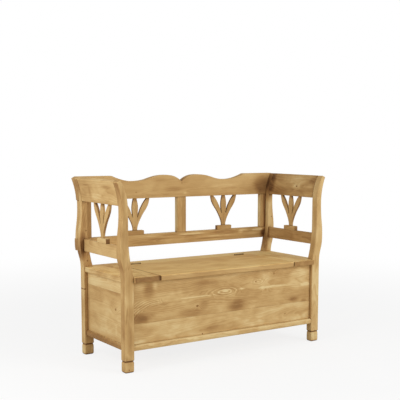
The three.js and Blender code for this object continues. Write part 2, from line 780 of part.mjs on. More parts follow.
function addHinges() {
  const hinges = new THREE.Group();
  for (const [side, centre] of [["left", -hingeFromCentre], ["right", hingeFromCentre]]) {
    addSolid(hinges, `hinge_leaf_seat_${side}`, hingeLeaf(centre, 1), agedBrass);
    addSolid(hinges, `hinge_leaf_lid_${side}`, hingeLeaf(centre, -1), agedBrass);
    addSolid(hinges, `hinge_pin_${side}`, hingePin(centre), agedBrass);
    addScrews(hinges, `hinge_screw_seat_${side}`, hingeScrew, hingeScrewLength, hingeScrewPlaces(centre, 1),
      toBack, agedBrass);
    addScrews(hinges, `hinge_screw_lid_${side}`, hingeScrew, hingeScrewLength, hingeScrewPlaces(centre, -1),
      toFront, agedBrass);
  }
  bench.add(hinges);
}

addPosts();
addBackFrame();
addArms();
addChest();
addSeat();
addHinges();

export default bench;
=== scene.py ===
"""Settle bench in waxed pine: rounded boards, tulip splats, a lidded chest, brass hinges, plain studio.

Metres. X runs along the bench, Y from the front to the back, Z up from the floor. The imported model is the
frame: every piece made here takes the place of one of its nodes, inside the same sizes.
"""

import math
from types import SimpleNamespace

import bmesh
import bpy
from mathutils import Matrix, Vector


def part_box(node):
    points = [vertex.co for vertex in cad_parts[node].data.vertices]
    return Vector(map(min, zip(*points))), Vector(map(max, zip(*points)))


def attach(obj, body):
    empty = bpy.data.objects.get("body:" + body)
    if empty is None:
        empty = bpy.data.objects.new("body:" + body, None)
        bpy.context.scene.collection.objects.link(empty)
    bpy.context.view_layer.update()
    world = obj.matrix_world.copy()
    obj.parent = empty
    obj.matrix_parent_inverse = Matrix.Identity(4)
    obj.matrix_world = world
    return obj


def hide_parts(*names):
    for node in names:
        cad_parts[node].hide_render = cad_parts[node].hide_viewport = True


bl_info = {
    "name": "Settle bench",
    "version": (1, 0, 0),
    "blender": (4, 5, 0),
    "location": "3D view > Sidebar > Bench",
    "description": "Builds the boards, hinges, screws, finishes and studio of a pine settle bench",
    "category": "Object",
}

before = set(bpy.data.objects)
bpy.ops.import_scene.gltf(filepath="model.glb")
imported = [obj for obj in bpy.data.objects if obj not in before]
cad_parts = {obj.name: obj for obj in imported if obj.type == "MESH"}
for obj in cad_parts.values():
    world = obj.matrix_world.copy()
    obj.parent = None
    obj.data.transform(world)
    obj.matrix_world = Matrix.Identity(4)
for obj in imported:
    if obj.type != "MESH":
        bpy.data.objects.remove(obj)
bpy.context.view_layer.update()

# Posts: straight legs, sawn to an S-curve above the seat
OUTER = 0.578
LEG_WIDTH = 0.048
LEG_INNER = OUTER - LEG_WIDTH
FOOT_GROOVE_HEIGHT = 0.054
FOOT_GROOVE_HALF = 0.0045
FOOT_GROOVE_DEPTH = 0.0035
SEAT_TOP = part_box("seat_lid")[1][2]
BENCH_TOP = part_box("crest_rail")[1][2]
SWELL_START_DROP = 0.015
SWELL_SHARE = 0.273
SWELL = 0.0195
WAIST_SHARE = 0.67
WAIST = 0.0076
FLARE_BEND_SHARE = 0.845
FLARE = 0.033
FLARE_DROP = 0.009
INNER_BEND_SHARE = 0.136
INNER_BEND = 0.019
NECK_START_SHARE = 0.364
NECK_INSET = 0.022
NECK_END_SHARE = 0.682
INNER_FLARE_BEND_SHARE = 0.875
INNER_FLARE = 0.016
ARM_BOARD_SETBACK = 0.0006
BETWEEN_POSTS = (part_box("post_front_left")[1][1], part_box("post_rear_left")[0][1])

# Back frame
BACK_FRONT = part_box("crest_rail")[0][1]
BACK_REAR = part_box("crest_rail")[1][1]
STILE_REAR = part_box("back_stile_centre")[1][1]
LOWER_RAIL_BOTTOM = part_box("back_lower_rail")[0][2]
LOWER_RAIL_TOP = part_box("back_lower_rail")[1][2]
TOP_BOARD_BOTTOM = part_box("crest_rail")[0][2]
CENTRE_STILE_HALF = 0.027
END_STILE_INSET = 0.057
CREST_FLAT_FROM_CENTRE = 0.408
CREST_TROUGH_FROM_CENTRE = 0.285
CREST_TROUGH_DEPTH = 0.029
CREST_TROUGH_BEND = 0.055
CREST_HUMP_FROM_CENTRE = 0.094
CREST_CUSP_DEPTH = 0.035
CREST_CUSP_BEND = 0.036

# Tulip splats: shares of the half width and of the height, up one side of the tulip
SPLAT_HALF_WIDTH = 0.083
SPLAT_STEM_HALF = 0.0115
SPLAT_SLOT_FOOT = 0.0016
PETAL_OUTER_SHARES = [
    (0.157, 0.1), (0.246, 0.23), (0.383, 0.37), (0.545, 0.51),
    (0.739, 0.645), (0.896, 0.78), (0.975, 0.91), (1, 1),
]
PETAL_INNER_SHARES = [
    (0.81, 1), (0.668, 0.915), (0.535, 0.82), (0.416, 0.713), (0.345, 0.644), (0.27, 0.545),
]
PETAL_MIDDLE_SHARES = [
    (0.178, 0.525), (0.2, 0.644), (0.2, 0.75), (0.181, 0.82), (0.145, 0.915), (0.104, 1),
]
SLOT_FOOT_SHARES = (0.148, 0.406)

# Wood screws: radius of the head, its depth, radius of the shank and the whole length
BATTEN_SCREW = (0.0038, 0.003, 0.002, 0.032)
HINGE_SCREW = (0.0028, 0.0016, 0.0014, 0.016)
SCREW_SIDES = 24
SCREW_RIM = 0.0003
SCREW_TIP = 0.004
SCREW_TAPER = 6
SLOT_SHARE = 0.26
SLOT_INSET = 0.35
SLOT_TURN = 0.6
SLOT_TURN_STEP = 1.9

# Fits
CLEARANCE = 0.0003
OVERRUN = 0.02

# Curves are drawn in this many steps
CURVE_STEPS = 14
SPLAT_STEPS = 3
SHARP_ANGLE = math.radians(35)

# A face looks along an axis when its normal has at least this share on it, and places this near are one
FACING = 0.92
TINY = 0.00002

# Studio: where a lamp stands and how wide it is, what the lamps look at, and the floor
SIDE_LAMP = ((-2.0, -0.4, 1.3), 1.4)
FRONT_LAMP = ((1.6, -3.6, 1.9), 2.2)
LAMP_AIM = (0, 0, 0.45)
FLOOR_SIDE = 40
MOTTLE_CELLS = 3.0
MOTTLE_TONE = 0.97

# How far from the middle the floor starts and stops turning white, and the share of white it starts with
FLOOR_WHITE = (1.0, 4.0, 0.82)
WHITE = (1.0, 1.0, 1.0, 1.0)


def length_setting(name, description, default, low, high):
    """A length in the panel, with the range that the joinery leaves it."""
    return bpy.props.FloatProperty(
        name=name, description=description, default=default, min=low, max=high, unit="LENGTH")


def angle_setting(name, description, degrees):
    """An angle in the panel."""
    return bpy.props.FloatProperty(
        name=name, description=description, default=math.radians(degrees), subtype="ANGLE")


def colour_setting(name, description, default):
    """A colour in the panel."""
    return bpy.props.FloatVectorProperty(
        name=name, description=description, default=default, size=3, min=0, max=1, subtype="COLOR")


class BenchSizes(bpy.types.PropertyGroup):
    """Sizes of the rounding and wear that the joinery doesn't depend on."""

    post_arris: length_setting(
        "Post arris", "Radius of the worn long edges of the posts", 0.0032, 0.0005, 0.006)
    board_arris: length_setting(
        "Board arris", "Radius of the eased edges of rails, stiles and the crest", 0.0022, 0.0003, 0.004)
    fine_arris: length_setting(
        "Fine arris", "Radius of the eased edges of splats, panels and hidden boards",
        0.0012, 0.0002, 0.003)
    foot_round: length_setting(
        "Foot round", "Radius of the rounded lower edge of each foot", 0.0095, 0.001, 0.012)
    foot_arris: length_setting(
        "Foot arris", "Radius of the worn upright edges of each foot", 0.0062, 0.001, 0.01)
    lid_front_round: length_setting(
        "Lid front round", "Radius of the lid's upper front edge", 0.007, 0.001, 0.01)
    lid_corner_round: length_setting(
        "Lid corner round", "Radius of the lid's two front corners, seen from above", 0.009, 0.001, 0.02)
    floor_round: length_setting(
        "Floor nosing", "Radius of the rounded edge of the chest floor", 0.009, 0.001, 0.012)
    block_round: length_setting(
        "Block round", "Radius of the upper ends of the blocks under the splats", 0.006, 0.001, 0.01)


class BenchFinish(bpy.types.PropertyGroup):
    """Colours and sheen of the waxed pine and of the metal."""

    bare_wood: colour_setting("Bare wood", "Palest streaks, where the wax has gone", (0.71, 0.545, 0.275))
    early_wood: colour_setting("Early wood", "Pale wood between the rings", (0.6, 0.402, 0.173))
    mid_wood: colour_setting("Mid wood", "Middle tone of the waxed pine", (0.5, 0.309, 0.121))
    late_wood: colour_setting("Late wood", "Darker lines and clouds", (0.34, 0.183, 0.065))
    # The old wax tone also colours the painted shade in corners and in the foot groove, where that darkening
    # reaches it.
    old_wax_and_shade: colour_setting("Old wax", "Brown wax left in corners and on end grain", (0.19, 0.092, 0.032))
    knot_wood: colour_setting("Knots", "Heart of a knot", (0.085, 0.036, 0.013))
    wax_roughness: bpy.props.FloatProperty(
        name="Wax roughness", description="Roughness of the waxed surface",
        default=0.64, min=0.1, max=1, subtype="FACTOR")
    brass: colour_setting("Brass", "Aged brass of the hinges", (0.26, 0.172, 0.08))
    steel: colour_setting("Steel", "Dull steel of the screws", (0.38, 0.37, 0.35))


class BenchStage(bpy.types.PropertyGroup):
    """The camera, the lamps and the floor."""

    camera_place: bpy.props.FloatVectorProperty(
        name="Camera place", description="Where the camera stands", subtype="XYZ", unit="LENGTH",
        size=3, default=(-2.3271, -3.5242, 1.0444))
    camera_yaw: angle_setting(
        "Camera yaw", "Turn from the bench's front towards its right, seen from above", 35.937)
    camera_pitch: angle_setting("Camera pitch", "Tilt above the horizon", -6.6)
    camera_roll: angle_setting("Camera roll", "Turn about the line of sight", 0.388)
    camera_lens: bpy.props.FloatProperty(
        name="Camera lens", description="Focal length in millimetres on a 36 mm sensor", default=75.1)
    camera_shift: bpy.props.FloatVectorProperty(
        name="Camera shift", description="Shift of the lens, as shares of the picture's width",
        size=2, default=(-0.1, 0.1))
    side_power: bpy.props.FloatProperty(
        name="Side lamp", description="Power of the soft lamp by the left end, in watts", default=17)
    front_power: bpy.props.FloatProperty(
        name="Front lamp", description="Power of the large soft lamp in front on the right, in watts",
        default=72)
    sky_strength: bpy.props.FloatProperty(
        name="Room light", description="Strength of the even light of the room", default=0.52)
    floor_colour: colour_setting("Floor", "Colour of the pale floor", (0.82, 0.82, 0.81))


# Curves

def bezier(start, first, second, end, steps=CURVE_STEPS):
    """The points of a cubic curve after its start."""
    points = []
    for i in range(1, steps + 1):
        t = i / steps
        weights = ((1 - t) ** 3, 3 * t * (1 - t) ** 2, 3 * t * t * (1 - t), t ** 3)
        points.append(tuple(
            sum(w * p[k] for w, p in zip(weights, (start, first, second, end))) for k in range(2)))
    return points


def quadratic(start, control, end, steps=CURVE_STEPS):
    """The points of a quadratic curve after its start."""
    first = tuple(s + 2 / 3 * (c - s) for s, c in zip(start, control))
    second = tuple(e + 2 / 3 * (c - e) for e, c in zip(end, control))
    return bezier(start, first, second, end, steps)


def through(points, steps=SPLAT_STEPS):
    """A smooth line through given points, ends included."""
    line = [points[0]]
    for i in range(len(points) - 1):
        before = points[max(i - 1, 0)]
        here, there = points[i], points[i + 1]
        after = points[min(i + 2, len(points) - 1)]
        first = tuple(h + (t - b) / 6 for h, t, b in zip(here, there, before))
        second = tuple(t - (a - h) / 6 for t, a, h in zip(there, after, here))
        line += bezier(here, first, second, there, steps)
    return line


def curve_height(share):
    """A height on the S-curve, from its share of the height above the seat."""
    return SEAT_TOP + share * (BENCH_TOP - SEAT_TOP)


def outer_line(setback=0.0):
    """The outer side of a right-hand post in X and Z, from the seat up."""
    out = OUTER - setback
    start = (out, SEAT_TOP - SWELL_START_DROP)
    swell = (out + SWELL, curve_height(SWELL_SHARE))
    waist = (out + WAIST, curve_height(WAIST_SHARE))
    tip = (out + FLARE, BENCH_TOP - FLARE_DROP)
    swell_middle = (start[1] + swell[1]) / 2
    waist_middle = (swell[1] + waist[1]) / 2
    line = [start]
    line += bezier(start, (start[0], swell_middle), (swell[0], swell_middle), swell)
    line += bezier(swell, (swell[0], waist_middle), (waist[0], waist_middle), waist)
    return line + quadratic(waist, (waist[0], curve_height(FLARE_BEND_SHARE)), tip)


def inner_line(setback=0.0):
    """The inner side of a right-hand post in X and Z, from the top down to the seat."""
    inner = LEG_INNER + setback
    neck = OUTER - NECK_INSET + setback
    tip = (OUTER + INNER_FLARE + setback, BENCH_TOP)
    neck_end = (neck, curve_height(NECK_END_SHARE))
    neck_start = (neck, curve_height(NECK_START_SHARE))
    line = [tip] + quadratic(tip, (neck, curve_height(INNER_FLARE_BEND_SHARE)), neck_end)
    line.append(neck_start)
    return line + quadratic(
        neck_start, (inner + INNER_BEND, curve_height(INNER_BEND_SHARE)), (inner, SEAT_TOP))


def between(line, low, high):
    """The stretch of an upward or downward line between two heights, cut exactly at both."""
    rising = line[-1][1] > line[0][1]
    upward = line if rising else line[::-1]
    kept = []
    for (x0, z0), (x1, z1) in zip(upward, upward[1:]):
        for height in (low, high):
            if z0 < height < z1:
                kept.append((x0 + (x1 - x0) * (height - z0) / (z1 - z0), height))
        if low <= z1 <= high:
            kept.append((x1, z1))
    if low <= upward[0][1]:
        kept.insert(0, upward[0])
    kept.sort(key=lambda point: point[1])
    return kept if rising else kept[::-1]


# Modelling

def start_afresh(piece=None):
    """Leaves edit mode and clears the selection, then selects a piece if one is given."""
    if bpy.context.object and bpy.context.object.mode != "OBJECT":
        bpy.ops.object.mode_set(mode="OBJECT")
    bpy.ops.object.select_all(action="DESELECT")
    if piece:
        bpy.context.view_layer.objects.active = piece
        piece.select_set(True)


def settle_place():
    """Carries the place, turn and scale of the selected piece into its mesh."""
    bpy.ops.object.transform_apply(location=True, rotation=True, scale=True)


def name_piece(name):
    """Names the piece just made and settles its place in its mesh."""
    piece = bpy.context.object
    piece.name = name
    piece.data.name = name
    settle_place()
    return piece


def plank(name, low, high):
    """A squared plank between two corners."""
    start_afresh()
    centre = [(a + b) / 2 for a, b in zip(low, high)]
    bpy.ops.mesh.primitive_cube_add(size=1, location=centre)
    bpy.ops.object.mode_set(mode="EDIT")
    bpy.ops.transform.resize(value=[b - a for a, b in zip(low, high)], center_override=centre)
    bpy.ops.object.mode_set(mode="OBJECT")
    return name_piece(name)


def face_outwards():
    """Turns the faces of the piece in edit mode outwards."""
    bpy.ops.mesh.select_all(action="SELECT")
    bpy.ops.mesh.normals_make_consistent(inside=False)
    bpy.ops.object.mode_set(mode="OBJECT")


def sawn(name, outline, normal, start, end):
    """A board sawn to an outline: the outline as a flat sheet at start, extruded along its normal to end.

    An outline square to Y is given in X and Z, and one square to Z in X and Y.
    """
    start_afresh()
    bpy.ops.mesh.primitive_circle_add(vertices=len(outline), fill_type="NGON")
    sheet = bpy.context.object.data
    axis = "XYZ".index(normal)
    flat = [k for k in range(3) if k != axis]
    for vertex, point in zip(sheet.vertices, outline):
        vertex.co[axis] = start
        vertex.co[flat[0]], vertex.co[flat[1]] = point
    bpy.ops.object.mode_set(mode="EDIT")
    bpy.ops.mesh.select_all(action="SELECT")
    travel = [end - start if k == axis else 0 for k in range(3)]
    bpy.ops.mesh.extrude_region_move(TRANSFORM_OT_translate={"value": travel})
    face_outwards()
    return name_piece(name)


def cut_across(heights):
    """Cuts new edges right round the piece in hand at some heights, without parting it."""
    bpy.ops.object.mode_set(mode="EDIT")
    for height in heights:
        bpy.ops.mesh.select_all(action="SELECT")
        bpy.ops.mesh.bisect(plane_co=(0, 0, height), plane_no=(0, 0, 1))
    bpy.ops.object.mode_set(mode="OBJECT")


def pick(piece, kind, wanted):
    """Goes into edit mode with only the wanted points or faces selected."""
    bpy.ops.object.mode_set(mode="EDIT")
    bpy.ops.mesh.select_mode(type=kind)
    bpy.ops.mesh.select_all(action="DESELECT")
    mesh = bmesh.from_edit_mesh(piece.data)
    for item in mesh.verts if kind == "VERT" else mesh.faces:
        if wanted(item):
            item.select_set(True)
    mesh.select_flush(True)
    bmesh.update_edit_mesh(piece.data)


def pull_in(piece, height, low, high, depth):
    """Draws the points at one height in towards the middle of a leg, to make a groove right round it."""
    centre = [(a + b) / 2 for a, b in zip(low, high)]
    pick(piece, "VERT", lambda point: abs(point.co.z - height) < TINY)
    shares = [1 - 2 * depth / (b - a) for a, b in zip(low, high)]
    bpy.ops.transform.resize(value=(*shares, 1), center_override=(*centre, height))
    bpy.ops.object.mode_set(mode="OBJECT")


def cut_out(piece, cutters):
    """Takes cutter solids away from a piece and clears them up."""
    for cutter in cutters:
        start_afresh(piece)
        cut = piece.modifiers.new("cut", "BOOLEAN")
        cut.operation = "DIFFERENCE"
        cut.solver = "EXACT"
        cut.object = cutter
        bpy.ops.object.modifier_apply(modifier=cut.name)
        bpy.data.objects.remove(cutter)


def ease_edges(piece, radius, segments=3):
    """Rounds the sharp edges of a piece, all alike or by a rule that gives an edge's radius from its ends.

    The new faces are marked as rubbed, which the finish shows as wear.
    """
    start_afresh(piece)
    mesh = bmesh.new()
    mesh.from_mesh(piece.data)
    weights = mesh.edges.layers.float.new("bevel_weight_edge")
    radii = {}
    for edge in mesh.edges:
        if len(edge.link_faces) == 2 and edge.calc_face_angle(0.0) > SHARP_ANGLE:
            first, second = edge.verts
            radii[edge] = radius(first.co, second.co) if callable(radius) else radius
    widest = max(radii.values())
    for edge, own in radii.items():
        edge[weights] = own / widest
    mesh.to_mesh(piece.data)
    mesh.free()
    bevel = piece.modifiers.new("eased edges", "BEVEL")
    bevel.width = widest
    bevel.segments = segments
    bevel.limit_method = "WEIGHT"
    bevel.use_clamp_overlap = False
    bevel.material = 1
    piece.data.materials.append(None)
    piece.data.materials.append(None)
    bpy.ops.object.modifier_apply(modifier=bevel.name)
    mark_rubbed(piece)
    shade(piece)
    return piece


def shade(piece):
    """Shades a piece smoothly over its eased edges and flat on its broad faces."""
    bpy.ops.object.shade_smooth_by_angle(angle=SHARP_ANGLE)
    flatten = piece.modifiers.new("flat faces", "WEIGHTED_NORMAL")
    flatten.keep_sharp = True
    bpy.ops.object.modifier_apply(modifier=flatten.name)


def mark_rubbed(piece):
    """Turns the second material slot of the eased edges into a rub attribute on the points."""
    mesh = piece.data
    rub = [0.0] * len(mesh.vertices)
    shares = [0] * len(mesh.vertices)
    for face in mesh.polygons:
        for index in face.vertices:
            shares[index] += 1
            rub[index] += face.material_index
        face.material_index = 0
    layer = mesh.attributes.new("rub", "FLOAT", "POINT")
    for index, count in enumerate(shares):
        layer.data[index].value = rub[index] / max(count, 1)
    mesh.materials.pop(index=1)


def copy_of(pattern, name):
    """A copy of a piece with a mesh of its own, selected alone."""
    piece = bpy.data.objects.new(name, pattern.data.copy())
    bpy.context.collection.objects.link(piece)
    start_afresh(piece)
    return piece


def turned_copy(pattern, source, node):
    """A copy of a piece made for the source node, turned a quarter and put in the place of another node."""
    from_middle, to_middle = ((Vector(low) + Vector(high)) / 2 for low, high in map(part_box, (source, node)))
    piece = copy_of(pattern, pattern.name.replace(source, node))
    quarter = Matrix.Rotation(math.pi / 2, 4, "Z")
    piece.matrix_world = Matrix.Translation(to_middle) @ quarter @ Matrix.Translation(-from_middle)
    settle_place()
    return piece


def left_copy(piece):
    """The mirrored copy of a right-hand piece, for the left side of the bench."""
    copy = copy_of(piece, piece.name.replace("right", "left"))
    copy.scale.x = -1
    settle_place()
    bpy.ops.object.mode_set(mode="EDIT")
    face_outwards()
    bpy.ops.mesh.customdata_custom_splitnormals_clear()
    shade(copy)
    return copy


def place(piece, node, slot="board_pine", body="carcass", finish=None):
    """Lets a finished piece stand for its CAD node on a body, in its own cut of pine or another finish."""
    piece.data.materials.clear()
    piece.data.materials.append(finish or Pine(node).board())
    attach(piece, body)
    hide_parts(node)


def place_pair(piece, node, slot="board_pine", body="carcass"):
    """Places a right-hand piece, and its mirrored copy on the left."""
    place(left_copy(piece), node.replace("right", "left"), slot, body)
    place(piece, node, slot, body)


# Finishes

class Wiring:
    """A material or a world being wired: most methods add one node and return its output."""

    def __init__(self, owner):
        owner.use_nodes = True
        self.owner = owner
        self.tree = owner.node_tree
        self.tree.nodes.clear()

    def node(self, kind, values=(), **settings):
        """A new node with its settings, and with values or links on its first sockets in order."""
        made = self.tree.nodes.new(kind)
        for key, value in settings.items():
            setattr(made, key, value)
        for socket, value in zip(made.inputs, values):
            self.feed(socket, value)
        return made

    def feed(self, socket, value):
        if isinstance(value, bpy.types.NodeSocket):
            self.tree.links.new(value, socket)
        else:
            socket.default_value = value

    def math(self, operation, first, second=0.0):
        return self.node("ShaderNodeMath", (first, second), operation=operation).outputs[0]

    def add(self, total, *others):
        for other in others:
            total = self.math("ADD", total, other)
        return total

    def times(self, product, *others):
        for other in others:
            product = self.math("MULTIPLY", product, other)
        return product

    def less(self, first, second):
        return self.math("SUBTRACT", first, second)

    def vector(self, operation, first, second=(0, 0, 0)):
        made = self.node("ShaderNodeVectorMath", (first, second), operation=operation)
        return made.outputs["Value" if operation == "LENGTH" else "Vector"]

    def parts(self, vector):
        return self.node("ShaderNodeSeparateXYZ", (vector,)).outputs

    def join(self, x, y, z):
        return self.node("ShaderNodeCombineXYZ", (x, y, z)).outputs[0]

    def noise(self, where, scale, detail=2.0, roughness=0.5, distortion=0.0):
        made = self.node("ShaderNodeTexNoise", (where,))
        made.inputs["Scale"].default_value = scale
        made.inputs["Detail"].default_value = detail
        made.inputs["Roughness"].default_value = roughness
        made.inputs["Distortion"].default_value = distortion
        return made.outputs["Fac"]

    def cells(self, where, per_metre, *look):
        """Noise in cells of a given number per metre along each axis."""
        return self.noise(self.vector("MULTIPLY", where, per_metre), 1.0, *look)

    def remap(self, value, low, high, to_low=0.0, to_high=1.0, shape="LINEAR"):
        """Carries values from one range to another and stops at its ends."""
        given = (value, low, high, to_low, to_high)
        return self.node("ShaderNodeMapRange", given, interpolation_type=shape).outputs[0]

    def ease(self, *values):
        """As remap, with a soft start and end."""
        return self.remap(*values, shape="SMOOTHSTEP")

    def mix(self, share, first, second):
        made = self.node("ShaderNodeMix", data_type="RGBA", clamp_factor=True)
        self.feed(made.inputs["Factor"], share)
        self.feed(made.inputs[6], self.colour(first))
        self.feed(made.inputs[7], self.colour(second))
        return made.outputs[2]

    def colour(self, value):
        if isinstance(value, bpy.types.NodeSocket):
            return value
        return (*tuple(value)[:3], 1.0)

    def ramp(self, value, colours):
        """A ramp through colours from dark to light, each at the place of its own redness."""
        made = self.node("ShaderNodeValToRGB")
        low, high = colours[0][0], colours[-1][0]
        stops = made.color_ramp.elements
        for colour in colours[1:-1]:
            stops.new((colour[0] - low) / (high - low))
        for stop, colour in zip(stops, colours):
            stop.color = self.colour(colour)
        self.feed(made.inputs[0], self.remap(value, low, high))
        return made.outputs[0]

    def crevice(self, reach):
        """One in the open, falling to nought where other wood stands within reach."""
        made = self.node("ShaderNodeAmbientOcclusion", samples=8)
        made.inputs["Distance"].default_value = reach
        return made.outputs["AO"]

    def bump(self, height, distance, strength):
        made = self.node("ShaderNodeBump")
        made.inputs["Strength"].default_value = strength
        made.inputs["Distance"].default_value = distance
        self.feed(made.inputs["Height"], height)
        return made.outputs[0]

    def surface(self, colour, roughness, normal, **constants):
        shader = self.node("ShaderNodeBsdfPrincipled")
        for key, value in constants.items():
            shader.inputs[key.replace("_", " ")].default_value = value
        self.feed(shader.inputs["Base Color"], colour)
        self.feed(shader.inputs["Roughness"], roughness)
        self.feed(shader.inputs["Normal"], normal)
        return self.end("ShaderNodeOutputMaterial", shader.outputs[0])

    def seen(self):
        """One where the ground is looked at, straight or in a reflection, and nought for its light."""
        rays = self.node("ShaderNodeLightPath").outputs
        looked = self.math("MAXIMUM", rays["Is Camera Ray"], rays["Is Glossy Ray"])
        return self.math("MAXIMUM", looked, rays["Is Transmission Ray"])

    def either(self, share, first, second):
        """The first shader where the share is nought, the second where it is one."""
        return self.node("ShaderNodeMixShader", (share, first.outputs[0], second.outputs[0])).outputs[0]

    def end(self, kind, result):
        """Feeds the result to an output and returns the material or world."""
        self.node(kind, (result,))
        return self.owner


# Pine figure: cells per metre along, across and through a board
WANDER_CELLS = (1.8, 7.0, 7.0)
RIPPLE_CELLS = (10.0, 34.0, 34.0)
MIST_CELLS = (6.5, 15.0, 15.0)
FOG_CELLS = (13.0, 26.0, 26.0)
PORE_CELLS = (90.0, 2600.0, 2600.0)

# Cells per metre across the rings and along a board
BAND_CELLS = (46.0, 1.1)
STREAK_CELLS = (420.0, 10.0)

# How far the rings are shifted, in metres, and how each board's seed moves it on through the figure
WANDER_SHIFT = 0.04
RIPPLE_SHIFT = 0.007
EYE_SHIFT = 0.03
SEED_SHIFT = (3.1, 1.7, 0.9)

# Rings: how often and by how many rings their spacing drifts, and how late wood darkens and ends
DRIFT_CELLS = 0.37
DRIFT = 1.6
LATE_WOOD_POWER = 2.4
LATE_WOOD_END = 0.92

# Knots, all as shares of their radius but the last: unevenness, lift of the rings, where the dark heart
# starts and stops fading, spacing of the arcs, and how much the arcs change the tone
KNOT_UNEVEN = 0.9
KNOT_LIFT = 1.8
KNOT_HEART = (0.5, 1.1)
KNOT_ARCS = 0.95
KNOT_ARC_CHANGE = 0.05

# Eyes: unevenness as a share of the arcs' spacing, the share of the reach that doesn't fade, the lengths
# over which an eye fades at its end, hollow and top, and how thin and how pale its arcs are
EYE_UNEVEN = 1.3
EYE_CORE = 0.3
EYE_END_FADE = 0.05
EYE_HOLLOW_FADE = 0.015
EYE_TOP_FADE = 0.004
EYE_ARC_POWER = 4.0
EYE_ARC_BASE = 0.2

# Marks: where they start and stop fading, as shares of their half size, and how clouds bend their outline
MARK_FADE = (0.3, 1.4)
MARK_WARP = 1.1

# How much a figure darkens and lightens the wood, as shares of its tone
BAND_CHANGE = 0.075
STREAK_CHANGE = 0.05
MIST_CHANGE = (0.13, -0.17)
FOG_CHANGE = (0.05, -0.06)
LATE_WOOD_CHANGE = 0.16
RUB_CHANGE = 0.07

# A lift that brings an even board to its tone, and the share of its end-grain darkening that a post keeps on
# ends that look up, where ends that look down get it all as painted shade
EVEN_LEVEL = 0.09
TOP_SHARE = 0.22

# Painted shade in corners, standing also for wax there: how far it reaches, where the open wood starts and
# how much it darkens.
# Painted shade in a groove, standing also for wax there: the distances from the groove at which it starts and
# stops fading, and its tone
CORNER_SHADE_AND_WAX = ((0.007, 0.85, 0.55), (0.05, 0.95, 0.2))
GROOVE_SHADE_AND_WAX = (0.0015, 0.006, 0.5)

# How far waxed and bare pine spread the light, at their smoothest and roughest
WAX_SPREAD = (-0.06, 0.1)
BARE_ROUGHNESS = (0.7, 0.85)

HONEY = (1.09, 1.015, 0.83)
BROAD_FACE = (0.3, 0.75)
FULL_TURN = 6.283

# Metal: cells of tarnish and of scratches per metre, how dark the tarnish is, and how rough it may be
TARNISH_CELLS = 260.0
SCRATCH_CELLS = (300.0, 2600.0, 2600.0)
TARNISH_TONE = 0.45
METAL_SPREAD = (-0.08, 0.18)
BRASS_ROUGHNESS = 0.36
STEEL_ROUGHNESS = 0.4

# What a board's cut is unless CUTS says otherwise. pith is the log's heart across and through the board
# from its middle, lean how that heart runs off along the board, and ring the spacing of the growth rings.
# The edge tone paints light and shade on the narrow faces beside the broad faces, and end_tone is the tone of
# the end grain.
# The corner shade scales the painted shade in corners, and the underside flag gives painted shade to a post's
# down-facing ends.
# sat_on says that years of use have turned the broad faces to a warmer honey colour.
PLAIN_CUT = dict(
    along=None, through=None, tone=1.0, pith=(0.02, -0.05), lean=(0.03, 0.02), ring=0.0045, contrast=1.0,
    clouds=1.0, grime=1.0, knots=(), eyes=(), marks=(), depth_of_marks=1.0, edge_tone=1.0, end_tone=0.55,
    bright_top=False, groove=None, waxed=True, sat_on=False)


